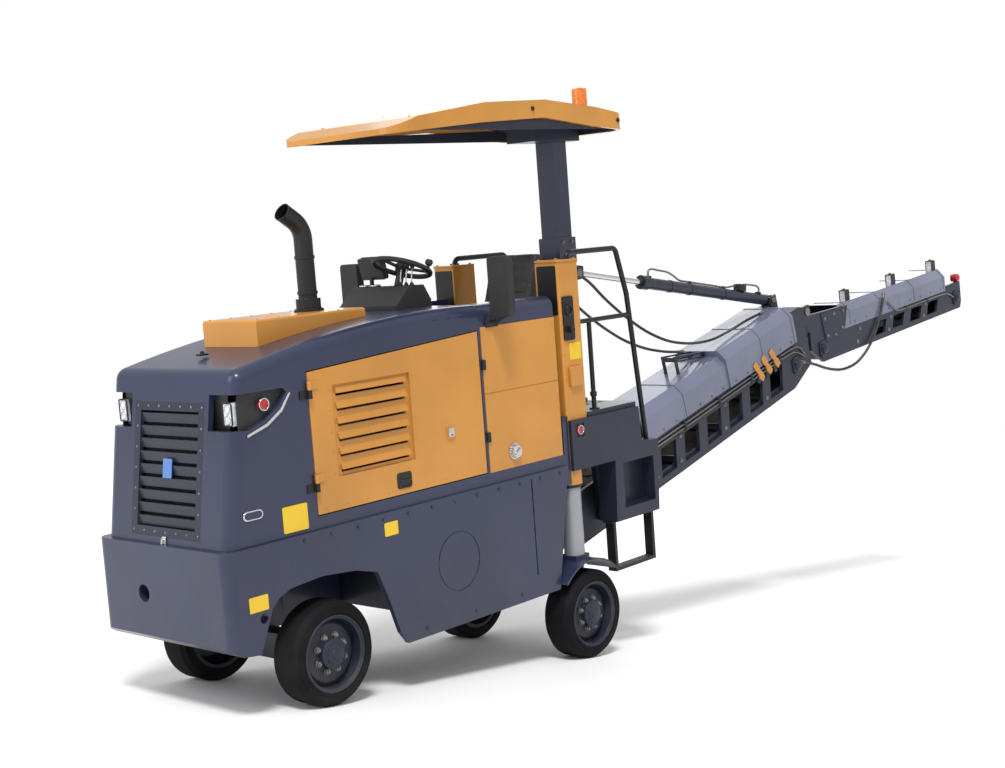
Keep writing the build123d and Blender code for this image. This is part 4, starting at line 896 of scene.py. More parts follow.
# ------------------------------------------------------------------ engine house
@dataclass
class EngineHouse(Assembly):
    """Screws, plates and catches of hood, doors, panels and side plates."""

    panel_y: float = 0.522
    frame_y: float = 0.544
    face_x: float = 0.554
    face_z: float = 1.100
    face_lean: float = -8.9
    catch_x: float = -1.016
    catch_z: float = 1.276
    pull_x: float = -0.632
    pull_z: float = 1.072
    filler_x: float = -1.541
    filler_z: float = 1.086
    oval_x: float = 0.418
    oval_z: float = 1.078
    intake_top_z: float = 2.012
    exhaust_x: float = -0.510
    hood_catch_x: float = 0.240

    def build(self) -> None:
        """Fit all of it."""
        for side, sign, outwards in SIDES:
            self.door(side, sign, outwards)
        for side, sign, outwards in SIDES:
            self.side_plate(side, sign, outwards)
        self.filler_cap()
        self.hood_top()
        self.front()

    def door(self, side: str, sign: float, outwards: Triple) -> None:
        """Catch, pull and screws of a door."""
        body, y = side + "_door", sign * self.panel_y
        x, z = self.catch_x, self.catch_z
        latch = set_at(block(0.044, 0.052, 0.006, 0.008, 0.0015), [(x, y + sign * 0.008, z)], outwards)
        keyhole = set_at(cylinder(0.009, 0.009, 0.001, 20), [(x, y + sign * 0.012, z + 0.007)], outwards)
        self.fit(side + "_door_catch", [latch, keyhole], Slot.TRIM, body=body)
        mark = set_at(block(0.016, 0.007, 0.003, 0.002, 0.0006), [(x, y + sign * 0.014, z - 0.014)], outwards)
        self.fit(side + "_door_catch_mark", [mark], Slot.RED, body=body)
        pull = self.pull().moved(facing(outwards)).at(self.pull_x, y, self.pull_z)
        self.fit(side + "_door_pull", [pull], Slot.PLASTIC, body=body)
        foot_row = [(x, y, 1.024) for x in np.linspace(-1.255, -0.06, 9)]
        louvre_rows = [(x, y, z) for x in (-0.752, -0.143) for z in np.linspace(1.19, 1.63, 5)]
        self.fit(side + "_door_screws", [set_at(dome_screw(0.006), foot_row + louvre_rows, outwards)],
                 Slot.YELLOW,
                 body=body)

    @staticmethod
    def pull() -> Surface:
        """Recess pull: a rounded plate with a raised rim and a bar across."""
        plate = block(0.112, 0.088, 0.004, 0.016, 0.0015)
        outline = rounded_outline(0.094, 0.070, 0.014, 6)
        path = np.column_stack([outline, np.full(len(outline), 0.005)])
        rim = tube(np.concatenate([path, path[:1]]), 0.004, 8)
        bar = tube(smooth_path([(-0.034, 0, 0.003), (-0.030, 0, 0.014), (0, 0, 0.018), (0.030, 0, 0.014),
                                (0.034, 0, 0.003)], 6), 0.0055, 10)
        return joined([plate, rim, bar])

    def side_plate(self, side: str, sign: float, outwards: Triple) -> None:
        """Bolts, panel screws, blank plates, oval trim and panel catches of one side."""
        y, low = sign * self.panel_y, sign * self.frame_y
        row = [(x, low, 0.892) for x in np.linspace(0.12, -1.92, 12)]
        row += [(x, low, 0.235) for x in (-0.70, -1.10, -1.50)]
        self.fit(side + "_frame_bolts", [set_at(bolt(0.018, 0.008), row, outwards)], Slot.BODY)
        tank = [(x, y, z) for x in (-1.345, -1.960) for z in np.linspace(1.03, 1.79, 6)]
        self.fit(side + "_panel_screws", [set_at(dome_screw(0.006), tank, outwards)], Slot.YELLOW)
        plates = [set_at(thin_plate(0.165, 0.135, 0.008), [(0.150, y, 1.012)], outwards),
                  set_at(thin_plate(0.100, 0.074), [(-0.484, low, 0.835)], outwards),
                  set_at(thin_plate(0.120, 0.078), [(0.447, low, 0.642)], outwards)]
        self.fit(side + "_blank_plates", plates, Slot.YELLOW, plate="sign_yellow")
        oval = rounded_outline(0.126, 0.050, 0.0249, 12)
        trim = set_at(prism(oval, 0.006, 0.0025), [(self.oval_x, y, self.oval_z)], outwards)
        self.fit(side + "_oval_trim", [trim], Slot.TRIM)
        field = prism(oval * (0.86, 0.72), 0.002, 0.0006)
        self.fit(side + "_oval_field",
                 [set_at(field, [(self.oval_x, y + sign * 0.0058, self.oval_z)], outwards)],
                 Slot.BODY)
        catch = set_at(block(0.030, 0.060, 0.014, 0.006, 0.003), [(-1.325, y, 1.62), (-1.325, y, 1.20)],
                       outwards)
        self.fit(side + "_panel_catches", [catch], Slot.BLACK)

    def filler_cap(self) -> None:
        """Fluted grip and finger bar on the left panel's filler cap."""
        x, y, z = self.filler_x, self.panel_y, self.filler_z
        grip = set_at(self.fluted(0.0385, 0.020, 30), [(x, y + 0.009, z)], LEFT)
        bar = set_at(block(0.058, 0.013, 0.010, 0.005, 0.002), [(x, y + 0.0295, z)], LEFT, 35)
        self.fit("filler_cap_grip", [grip, bar], Slot.TRIM)

    @staticmethod
    def fluted(radius: float, height: float, flutes: int) -> Surface:
        """Fluted ring wall: r(a) = radius + 0.8 mm cos(flutes a), closed by flat ends."""
        a = np.linspace(0, 2 * math.pi, flutes * 6, endpoint=False)
        r = radius + 0.0008 * np.cos(flutes * a)
        return prism(np.column_stack([r * np.cos(a), r * np.sin(a)]), height, 0.001)

    def hood_top(self) -> None:
        """Intake screws, exhaust bands with their bolted flange, and the hood's top catch."""
        screws = [(x, y, self.intake_top_z) for x in np.linspace(-0.69, 0.02, 6) for y in (-0.20, 0.20)]
        self.fit("intake_screws", [set_at(dome_screw(0.007), screws, UP)], Slot.STEEL)
        band = lathe([(0.0525, 0), (0.057, 0.001), (0.057, 0.019), (0.0525, 0.020)], 40)
        flange = lathe([(0.066, 0), (0.084, 0), (0.084, 0.010), (0.070, 0.012), (0.066, 0.012)], 40)
        studs = [(self.exhaust_x + x, y, self.intake_top_z + 0.010) for x, y in round_about(0.077, 6)]
        parts = [item.at(self.exhaust_x, 0, z)
                 for item, z in ((band, 2.105), (band, 2.300), (flange, self.intake_top_z))]
        self.fit("exhaust_bands", [*parts, set_at(bolt(0.010, 0.006), studs, UP)], Slot.BLACK)
        catch = [block(0.060, 0.040, 0.010, 0.008, 0.003).at(self.hood_catch_x, 0.0, 1.8475),
                 cylinder(0.012, 0.018, 0.004).at(self.hood_catch_x, 0.0, 1.853)]
        self.fit("hood_catch", catch, Slot.BLACK)

    def front(self) -> None:
        """Radiator core and wire mesh behind the slats, grille screws, blank plate and the lower catch."""
        face = self.places.chassis.turned(self.face_x, 0, self.face_z, self.face_lean)
        gz, gy = np.meshgrid([-0.120, 0.520], np.linspace(-0.270, 0.270, 271), indexing="ij")
        core = np.stack([-0.060 + 0.004 * np.sin(2 * math.pi * gy / 0.012), gy, gz], -1)
        self.fit("radiator_core", [slab(core, (-0.006, 0, 0))], Slot.BLACK, face)
        wires = [tube(np.array([(-0.034, a, -0.097), (-0.034, a, 0.497)]), 0.0012, 6)
                 for a in np.linspace(-0.24, 0.24, 33)]
        wires += [tube(np.array([(-0.036, -0.244, b), (-0.036, 0.244, b)]), 0.0012, 6)
                  for b in np.linspace(-0.09, 0.49, 39)]
        self.fit("grille_mesh", wires, Slot.BLACK, face)
        edge = [(0.0, a, b) for a in (-0.268, 0.268) for b in np.linspace(-0.12, 0.52, 7)]
        edge += [(0.0, a, b) for a in np.linspace(-0.18, 0.18, 5) for b in (-0.121, 0.521)]
        self.fit("grille_screws", [set_at(dome_screw(0.007), edge, FORWARD)], Slot.STEEL, face)
        plate = set_at(block(0.100, 0.074, 0.006, 0.006, 0.0015), [(-0.004, 0.0, 0.205)], FORWARD)
        self.fit("grille_blank_plate", [plate], Slot.BODY, face, plate="plate_blue")
        catch = [set_at(block(0.046, 0.032, 0.010, 0.005, 0.002), [(0.0, 0.0, -0.162)], FORWARD),
                 set_at(block(0.030, 0.014, 0.014, 0.004, 0.002), [(0.008, 0.0, -0.166)], FORWARD)]
        self.fit("hood_lower_catch", catch, Slot.TRIM, face)


@dataclass
class Lamps(Assembly):
    """Rims, rings and back plates of headlamps, and the rings of side and rear lamps."""

    lamp_x: float = 0.452
    lamp_y: float = 0.440
    lamp_z: float = 1.580
    side_lamp: Triple = (0.279, 0.5135, 1.610)
    rear_lamp: Triple = (-2.138, 0.551, 1.125)

    def build(self) -> None:
        """Dress every lamp on the chassis."""
        for side, sign, outwards in SIDES:
            y = sign * self.lamp_y
            self.fit(side + "_headlamp_rim",
                     [bead(0.114, 0.066, 0.012, 0.0045).at(self.lamp_x, y, self.lamp_z)],
                     Slot.PLASTIC)
            bulbs = [(self.lamp_x + 0.001, y, self.lamp_z + z) for z in (-0.027, 0.027)]
            self.fit(side + "_headlamp_rings", [set_at(ring(0.022, 0.0025, 32, 8), bulbs, FORWARD)],
                     Slot.TRIM)
            back = set_at(block(0.235, 0.130, 0.004, 0.004, 0.001),
                          [(0.430, sign * 0.365, self.lamp_z + 0.010)],
                          FORWARD)
            self.fit(side + "_lamp_back", [back], Slot.BLACK)
            rings = (("side", self.side_lamp, 0.030, 0.0035), ("rear", self.rear_lamp, 0.027, 0.0030))
            for name, (x, across, z), radius, thick in rings:
                loop = set_at(ring(radius, thick, 36, 8), [(x, sign * across, z)], outwards)
                self.fit(f"{side}_{name}_lamp_ring", [loop], Slot.TRIM)


# ------------------------------------------------------------------ operator's place
@dataclass
class SeatPads(Assembly):
    """Cushion and backrest: sewn closed forms puffed by a cloth simulation."""

    seat_x: float = -1.965
    seat_z: float = 1.640
    half_w: float = 0.222
    channels: int = 4
    backrest_lean: float = 71.2
    cell: float = 0.006
    frames: int = 20
    most: float = 0.010
    pressure: float = 4.0
    cloth_stiffness: float = 40.0

    @staticmethod
    def pad(length: float, width: float, height: float, channels: int) -> Surface:
        """Closed pad on Z = 0.

        z(u, v) = height times a crown that falls off to the rim, less a narrow groove at each channel.

        Args:
            length: along X.
            width: along Y.
            height: thickness.
            channels: sewn grooves across X.

        Returns:
            The surface.
        """
        gu, gv = np.meshgrid(np.linspace(-1, 1, 57), np.linspace(-1, 1, 61), indexing="ij")
        crown = 0.80 + 0.20 * (1 - np.abs(gu) ** 2.6) * (1 - np.abs(gv) ** 2.6)
        rim = (1 - np.abs(gu) ** 14) * (1 - np.abs(gv) ** 14)
        seams = np.linspace(-0.55, 0.55, channels)
        groove = sum(np.exp(-((gu - seam) / 0.022) ** 2) for seam in seams) * (np.abs(gv) < 0.72)
        piping = np.exp(-((np.abs(gv) - 0.74) / 0.016) ** 2)
        z = height * (0.30 + 0.70 * crown * rim ** 0.35) - 0.009 * groove - 0.007 * piping
        corner = 1 - 0.05 * np.abs(gu) ** 6 * np.abs(gv) ** 6
        top = np.stack([gu * length / 2 * corner, gv * width / 2 * corner, z], -1)
        surface = slab(top, (0, 0, 0))
        points = surface.points.copy()
        points[len(points) // 2:, 2] = 0.0
        return Surface(points, surface.faces)

    def puffed(self, name: str, surface: Surface) -> bpy.types.Object:
        """Pad as an object, remeshed, puffed by the cloth solver with its movement capped, and smoothed.

        Args:
            name: its name.
            surface: closed surface in the model's frame.

        Returns:
            The object.
        """
        made = make_mesh(name, surface)
        remesh = made.modifiers.new("cells", "REMESH")
        remesh.mode = "VOXEL"
        remesh.voxel_size = self.cell
        self.apply(made)
        before = np.empty(len(made.data.vertices) * 3)
        made.data.vertices.foreach_get("co", before)
        cloth = made.modifiers.new("cloth", "CLOTH")
        cloth.settings.use_pressure = True
        cloth.settings.uniform_pressure_force = self.pressure
        cloth.settings.effector_weights.gravity = 0.0
        cloth.settings.tension_stiffness = self.cloth_stiffness
        cloth.settings.compression_stiffness = self.cloth_stiffness
        cloth.point_cache.frame_end = self.frames
        for frame in range(1, self.frames + 1):
            bpy.context.scene.frame_set(frame)
        self.apply(made)
        bpy.context.scene.frame_set(1)
        after = np.empty_like(before)
        made.data.vertices.foreach_get("co", after)
        step = (after - before).reshape(-1, 3)
        far = np.linalg.norm(step, axis=1, keepdims=True)
        step *= np.minimum(1.0, self.most / np.maximum(far, 1e-9))
        made.data.vertices.foreach_set("co", (before.reshape(-1, 3) + step).ravel())
        made.data.update()
        smooth = made.modifiers.new("smooth", "SMOOTH")
        smooth.iterations = 3
        self.apply(made)
        made.data.polygons.foreach_set("use_smooth", np.ones(len(made.data.polygons), bool))
        return made

    @staticmethod
    def apply(made: bpy.types.Object) -> None:
        """Bake the modifiers into the mesh."""
        graph = bpy.context.evaluated_depsgraph_get()
        baked = bpy.data.meshes.new_from_object(made.evaluated_get(graph))
        old = made.data
        made.modifiers.clear()
        made.data = baked
        bpy.data.meshes.remove(old)

    def build(self) -> None:
        """Fit cushion and backrest in place of the plain solid."""
        x, z, width = self.seat_x, self.seat_z, 2 * self.half_w
        cushion = self.pad(0.415, width, 0.098, self.channels).at(x + 0.014, 0, z + 0.001)
        lean = Matrix.Rotation(math.radians(self.backrest_lean), 4, "Y")
        back = self.pad(0.470, width - 0.02, 0.070, self.channels).at(-0.240, 0, 0.0)
        back = back.moved(Matrix.Translation((x - 0.200, 0, z + 0.125)) @ lean)
        for name, surface, share in (("seat_cushion", cushion, 0.75), ("seat_backrest", back, 0.7)):
            made = self.puffed(name, surface.moved(self.places.chassis.matrix))
            made.data.materials.clear()
            made.data.materials.append(self.shop.materials[Slot.VINYL])
            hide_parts("seat")
            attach(made, "chassis")
            log.info("%s has %d faces", name, len(made.data.polygons))


@dataclass
class OperatorStation(Assembly):
    """Controls, display, steering wheel's knob, seat fittings, floor, mirrors, rails and steps."""

    floor_z: float = 1.220
    desk: Triple = (-1.170, -0.05, 2.100)
    display: Triple = (-1.240, -0.235, 2.205)
    display_tilt: float = 14.0
    wheel: Triple = (-1.150, 0.060, 2.095)
    wheel_tilt: float = -22.0
    seat_x: float = -1.965
    mat_x: float = -1.62
    mirror: Triple = (-1.4455, 0.620, 2.060)
    rail_y: float = 0.470
    rail_x: float = -2.385

    def build(self) -> None:
        """Fit all of it."""
        self.console()
        self.seat_fittings()
        self.floor()
        for side, sign, outwards in SIDES:
            self.mirror_glass(side, sign, outwards)
        for side, sign, _ in SIDES:
            self.rail_feet(side, sign)
            self.step_fittings(side, sign)

    def console(self) -> None:
        """Dials, levers, display face and the wheel's knob."""
        desk = self.places.chassis.turned(*self.desk)
        dial = lathe([(0.030, 0), (0.034, 0.003), (0.034, 0.010), (0.030, 0.012), (0.028, 0.008), (0, 0.008)],
                     28)
        glass = cylinder(0.027, 0.002, 0.0004, 24)
        self.fit("console_dials", [dial.at(0.0, y, 0.0) for y in (-0.19, -0.10)], Slot.TRIM, desk)
        self.fit("console_dial_glass", [glass.at(0.0, y, 0.0085) for y in (-0.19, -0.10)], Slot.PLASTIC, desk)
        boot = lathe([(0.015, 0), (0.015, 0.004), (0.011, 0.007), (0.013, 0.011), (0.008, 0.015),
                      (0.005, 0.022)], 20)
        knob = lathe([(0.006, 0), (0.013, 0.008), (0.0165, 0.020), (0.013, 0.031), (0.006, 0.036),
                      (0, 0.0365)], 20)
        feet = [(0.035 - 0.010 * k, y) for k, y in enumerate((0.150, 0.185, 0.220))]
        boots = [boot.at(x, y, 0.0) for x, y in feet]
        knobs = [knob.at(x - 0.016, y, 0.096) for x, y in feet]
        sticks = [tube(smooth_path([(x, y, 0.010), (x - 0.004, y, 0.055), (x - 0.016, y, 0.100)], 6), 0.0042,
                       10)
                  for x, y in feet]
        self.fit("console_lever_boots", boots + knobs, Slot.PLASTIC, desk)
        self.fit("console_levers", sticks, Slot.TRIM, desk)
        display = self.places.chassis.turned(*self.display, self.display_tilt)
        self.fit("display_bezel", [bead(0.128, 0.188, 0.012, 0.005, -0.018)], Slot.PLASTIC, display)
        glass = set_at(block(0.104, 0.160, 0.002, 0.006, 0.0006), [(-0.0182, 0, 0)], BACK)
        self.fit("display_glass", [glass], Slot.ROD, display)
        wheel = self.places.chassis.turned(*self.wheel, self.wheel_tilt)
        grip = lathe([(0.010, 0), (0.010, 0.012), (0.020, 0.020), (0.024, 0.036), (0.018, 0.048), (0, 0.052)],
                     24)
        hub = lathe([(0.034, 0), (0.032, 0.008), (0.020, 0.012), (0, 0.013)], 32)
        self.fit("steering_knob", [grip.at(-0.055, 0.158, 0.128), hub.at(0, 0, 0.134)], Slot.PLASTIC, wheel)

    def seat_fittings(self) -> None:
        """Bellows round the pedestal, armrests and slides."""
        folds = np.linspace(0, 1, 33)
        reach = 0.012 * np.abs(np.sin(folds * math.pi * 6))
        outline = rounded_outline(1.0, 1.0, 0.08, 5)
        count = len(outline)
        points = np.concatenate([
            np.column_stack([outline * (0.296 + 2 * r, 0.306 + 2 * r), np.full(count, 1.30 + 0.28 * t)])
            for t, r in zip(folds, reach)])
        faces = grid_faces(len(folds), count, round_columns=True)
        faces += [tuple(range(count))[::-1], tuple(len(points) - count + k for k in range(count))]
        self.fit("seat_bellows", [Surface(points, faces).at(self.seat_x, 0, 0)], Slot.PLASTIC)
        arms = []
        for _, sign, _ in SIDES:
            pad = [(-2.10, sign * 0.245, 1.893), (-2.02, sign * 0.247, 1.902), (-1.90, sign * 0.247, 1.902),
                   (-1.82, sign * 0.244, 1.896)]
            stay = [(-2.07, sign * 0.245, 1.885), (-2.08, sign * 0.240, 1.80), (-2.05, sign * 0.232, 1.70),
                    (-2.03, sign * 0.222, 1.628)]
            arms += [tube(smooth_path(pad, 6), 0.020, 14), tube(smooth_path(stay, 6), 0.010, 10)]
        self.fit("seat_armrests", arms, Slot.PLASTIC)
        slide = block(0.380, 0.020, 0.016, 0.004, 0.001)
        slides = [set_at(slide, [(self.seat_x + 0.005, sign * 0.210, 1.618)], outwards) for _, sign,
                  outwards in SIDES]
        self.fit("seat_slides", slides, Slot.STEEL)

    def floor(self) -> None:
        """Tread bars of the platform's plate, laid in turn along two diagonals, and a ribbed rubber mat."""
        x, y = np.meshgrid(np.arange(-2.70, -2.28, 0.034), np.arange(-0.31, 0.32, 0.034), indexing="ij")
        lozenge = np.array([(-0.012, 0), (0, -0.0032), (0.012, 0), (0, 0.0032)])
        bar = prism(lozenge, 0.0022, 0.0008)
        spots = np.column_stack([x.ravel(), y.ravel()])
        odd = (np.add.outer(np.arange(x.shape[0]), np.arange(x.shape[1])).ravel() % 2).astype(bool)
        clear = (np.abs(spots[:, 1]) > 0.145) | (spots[:, 0] > -2.54)
        bars = []
        for flag, angle in ((False, 45.0), (True, -45.0)):
            turned = bar.moved(Matrix.Rotation(math.radians(angle), 4, "Z"))
            bars += [turned.at(float(a), float(b), self.floor_z) for a, b in spots[(odd == flag) & clear]]
        self.fit("platform_tread", bars, Slot.STEEL)
        mat = block(0.40, 0.60, 0.006, 0.02, 0.002).at(self.mat_x, 0, self.floor_z)
        rib = block(0.38, 0.008, 0.004, 0.003, 0.001)
        ribs = [rib.at(self.mat_x, across, self.floor_z + 0.0055) for across in np.linspace(-0.27, 0.27, 19)]
        self.fit("floor_mat", [mat, *ribs], Slot.TYRE)

    def mirror_glass(self, side: str, sign: float, outwards: Triple) -> None:
        """Glass and rim of a mirror, and its foot's bolts."""
        x, across, z = self.mirror
        spot = (x, sign * across, z)
        glass = set_at(block(0.322, 0.124, 0.003, 0.020, 0.001), [spot], BACK)
        self.fit(side + "_mirror_glass", [glass], Slot.TRIM)
        rim = bead(0.338, 0.140, 0.022, 0.0055).at(*spot)
        feet = [(x, sign * 0.532, z) for x in (-1.455, -1.385) for z in (1.845, 1.875)]
        self.fit(side + "_mirror_rim", [rim, set_at(bolt(0.012, 0.006), feet, outwards)], Slot.PLASTIC)

    def rail_feet(self, side: str, sign: float) -> None:
        """Clamp collar and screwed feet of a handrail."""
        x, y = self.rail_x, sign * self.rail_y
        collar = lathe([(0.016, 0), (0.022, 0.001), (0.022, 0.029), (0.016, 0.030)], 24)
        foot = lathe([(0.018, 0), (0.032, 0), (0.032, 0.007), (0.021, 0.010), (0.018, 0.010)], 28)
        upright = [collar.at(x, y, 1.30), foot.at(x, y, self.floor_z), foot.at(-2.200, y, 2.174)]
        screws = [(x + dx, y + dy, self.floor_z + 0.007) for dx, dy in round_about(0.026, 4)]
        self.fit(side + "_rail_feet", [*upright, set_at(dome_screw(0.005), screws, UP)], Slot.BLACK)

    def step_fittings(self, side: str, sign: float) -> None:
        """Studs on the stirrup's tread and tabs at its upper ends."""
        xs, ys = np.meshgrid(np.linspace(-2.835, -2.505, 12), np.linspace(0.455, 0.490, 3))
        stud = lathe([(0.0062, 0), (0.0062, 0.002), (0.004, 0.004), (0.003, 0.003), (0, 0.003)], 10)
        studs = [stud.at(float(a), sign * float(b), 0.184) for a, b in zip(xs.ravel(), ys.ravel())]
        self.fit(side + "_step_studs", studs, Slot.STEEL)
        tab = block(0.070, 0.080, 0.008, 0.006, 0.001)
        self.fit(side + "_step_tabs", [tab.at(x, sign * 0.4725, 0.476) for x in (-2.4695, -2.8725)],
                 Slot.BLACK)


@dataclass
class Canopy(Assembly):
    """Dark sheets and ribs under the canopy as painted shade, the roof's sheet in part a real liner; the
    canopy's screws, the beacon's lens and foot, and the post's bolts.
    """

    rear_x: float = -2.900
    front_x: float = -0.800
    half_w: float = 0.500
    wall: float = 0.028
    corner: float = 0.122
    knots: tuple[Pair, ...] = ((-2.900, 3.050), (-2.560, 3.098), (-2.070, 3.137), (-1.530, 3.115),
                               (-0.980, 3.036),
                               (-0.800, 2.975))
    rim: tuple[Pair, ...] = ((-2.900, 2.955), (-2.540, 2.978), (-2.060, 3.030), (-1.500, 3.000),
                             (-0.800, 2.942))
    rib_places: tuple[float, ...] = (-2.35, -1.95, -1.45, -1.05)
    rib_half_w: float = 0.44
    head: Pair = (-2.397, -2.863)
    head_low_z: float = 2.9225
    head_w: float = 0.226
    beacon: Pair = (-2.720, 0.250)
    beacon_z: float = 3.098

    def roof_z(self, x: float | np.ndarray) -> float | np.ndarray:
        """Height of the roof's outer face."""
        return np.interp(x, *np.array(self.knots).T)

    def half_at(self, x: np.ndarray, inset: float) -> np.ndarray:
        """Half width at x within the rounded corners, moved in by an inset."""
        radius = self.corner
        near = np.minimum(x - self.rear_x, self.front_x - x) - inset
        short = np.clip(radius - near, 0, radius)
        return self.half_w - inset - radius + np.sqrt(np.maximum(radius ** 2 - short ** 2, 0))

    def roof_shade_liner(self) -> Surface:
        """Dark sheet under the roof, within its rounded corners: in part a real liner, the rest painted shade
        on the underside.
        """
        inset = self.wall + 0.004
        x = np.linspace(self.rear_x + inset + 0.001, self.front_x - inset - 0.020, 96)
        gx, gt = np.meshgrid(x, np.linspace(-1, 1, 13), indexing="ij")
        low = self.roof_z(gx) - self.wall - 0.006
        return slab(np.stack([gx, gt * self.half_at(gx, inset), low], -1), (0, 0, -0.004))

    def rib(self, x: float) -> Surface:
        """Folded rib across the roof's underside."""
        section = np.array([(-0.020, 0), (-0.014, -0.018), (0.014, -0.018), (0.020, 0)])
        z = self.roof_z(x) - self.wall - 0.008
        gy, gs = np.meshgrid(np.linspace(-self.rib_half_w, self.rib_half_w, 9), np.arange(4), indexing="ij")
        points = np.stack([x + section[gs, 0], gy, z + section[gs, 1]], -1).reshape(-1, 3)
        last = len(points) - 4
        ends = [(3, 2, 1, 0), (last, last + 1, last + 2, last + 3)]
        return Surface(points, grid_faces(9, 4, round_columns=True) + ends)

    def skirt_shade(self) -> Surface:
        """Dark sheet inside the skirt, painted shade on its inner faces.

        Its plan p(k) goes round the rounded rectangle of the inner wall; each point carries a slim
        rectangle from just under the roof down to the rim: (p + n d, z) for d in {0, t} and z in
        {roof - gap, rim + gap}.
        """
        inset, thick, gap = self.wall + 0.001, 0.003, 0.003
        length, width = self.front_x - self.rear_x - 2 * inset, 2 * (self.half_w - inset)
        middle = np.array([(self.front_x + self.rear_x) / 2, 0.0])
        outer = rounded_outline(length, width, self.corner, 10) + middle
        inner = rounded_outline(length - 2 * thick, width - 2 * thick, self.corner - thick, 10) + middle
        high = self.roof_z(outer[:, 0]) - self.wall - gap
        low = np.minimum(np.interp(outer[:, 0], *np.array(self.rim).T) + gap, high - gap)
        points = np.stack([np.column_stack([outer, high]), np.column_stack([outer, low]),
                           np.column_stack([inner, low]), np.column_stack([inner, high])], axis=1)
        return Surface(points.reshape(-1, 3), grid_faces(len(outer), 4, round_rows=True, round_columns=True))

    def head_shade(self) -> Surface:
        """Dark shell round the post's head, up to the roof, painted shade over the yellow block."""
        front, rear = self.head
        drop = self.wall + 0.012
        outline = [(-front, self.head_low_z), (-rear, self.head_low_z), (-rear, self.roof_z(rear) - drop),
                   (-front, self.roof_z(front) - drop)]
        return set_at(prism(np.array(outline), self.head_w, 0.001), [(0.0, -self.head_w / 2, 0.0)], LEFT)

    def build(self) -> None:
        """Fit all of it."""
        # Painted shade: dark sheets and dark ribs under the canopy, on the skirt's inner faces and over the
        # post's head; part of the roof's sheet is a real liner.
        self.fit("canopy_shade_liner", [self.roof_shade_liner()], Slot.DARK)
        self.fit("canopy_ribs", [self.rib(x) for x in self.rib_places], Slot.DARK)
        self.fit("canopy_skirt_liner", [self.skirt_shade()], Slot.DARK)
        self.fit("canopy_head_cover", [self.head_shade()], Slot.DARK)
        for side, sign, outwards in SIDES:
            bolts = [(x, sign * self.half_w, self.roof_z(x) - 0.050) for x in (-2.780, -1.950)]
            self.fit(side + "_skirt_bolts", [set_at(bolt(0.022, 0.010), bolts, outwards)], Slot.BLACK)
        spots = [(x, sign * 0.36, self.roof_z(x)) for x in (-2.60, -2.10, -1.55, -1.05) for _, sign,
                 _ in SIDES]
        spots += [(x, sign * 0.07, self.roof_z(x)) for x in (-2.78, -2.48) for _, sign, _ in SIDES]
        self.fit("canopy_screws", [set_at(dome_screw(0.010), spots, UP)], Slot.YELLOW)
        ribbed = lathe([(0.0482, 0)] + [(0.0482 + 0.0016 * (k % 2), 0.010 + 0.011 * k) for k in range(11)]
                       + [(0.044, 0.128), (0.030, 0.136), (0, 0.139)], 40)
        self.fit("beacon_lens", [ribbed.at(*self.beacon, self.beacon_z + 0.012)], Slot.AMBER)
        foot = lathe([(0.055, 0), (0.058, 0.004), (0.058, 0.012), (0.050, 0.016)], 40)
        self.fit("beacon_foot", [foot.at(*self.beacon, self.beacon_z)], Slot.BLACK)
        post = [set_at(bolt(0.020, 0.010),
                       [(x, sign * 0.086, z) for x in (-2.745, -2.655) for z in (2.160, 2.270)],
                       outwards) for _, sign, outwards in SIDES]
        flange = [(x, y, 1.238) for x in (-2.615, -2.725) for y in (-0.11, 0.11)]
        self.fit("post_bolts", [*post, set_at(bolt(0.022, 0.011), flange, UP)], Slot.STEEL)


@dataclass
class MillingDrum(Assembly):
    """Hard tips and retaining collars on the drum's picks, placed as the picks are."""

    drum_x: float = -1.400
    drum_z: float = 0.425
    drum_w: float = 0.490
    core_r: float = 0.235
    helices: int = 4
    picks: int = 14
    low_y: float = -0.494
    end_gap: float = 0.020
    helix_step: float = 0.006
    twist: float = 200.0
    pick_lean: float = 38.0

    def build(self) -> None:
        """One hard tip and one collar for each pick."""
        tip = lathe([(0.0062, 0), (0.0056, 0.008), (0.0030, 0.014), (0, 0.016)], 10)
        collar = lathe([(0.0170, 0), (0.0175, 0.003), (0.0150, 0.008)], 14)
        lean = Matrix.Translation((0.006, 0, self.core_r + 0.020)) @ Matrix.Rotation(
            math.radians(self.pick_lean), 4, "Y")
        tips, collars = [], []
        for helix in range(self.helices):
            for index in range(self.picks):
                share = (index + 0.5) / self.picks
                y = self.low_y + self.end_gap + share * (self.drum_w - 2 * self.end_gap)
                y += (helix - (self.helices - 1) / 2) * self.helix_step
                angle = helix * 360 / self.helices + self.twist * abs(share - 0.5)
                carry = Matrix.Rotation(math.radians(angle), 4, "Y") @ Matrix.Translation((0, y, 0)) @ lean
                tips.append(tip.at(0, 0, 0.074).moved(carry))
                collars.append(collar.at(0, 0, 0.012).moved(carry))
        place = self.places.chassis.turned(self.drum_x, 0, self.drum_z)
        self.fit("pick_tips", tips, Slot.TRIM, place, "drum")
        self.fit("pick_collars", collars, Slot.STEEL, place, "drum")


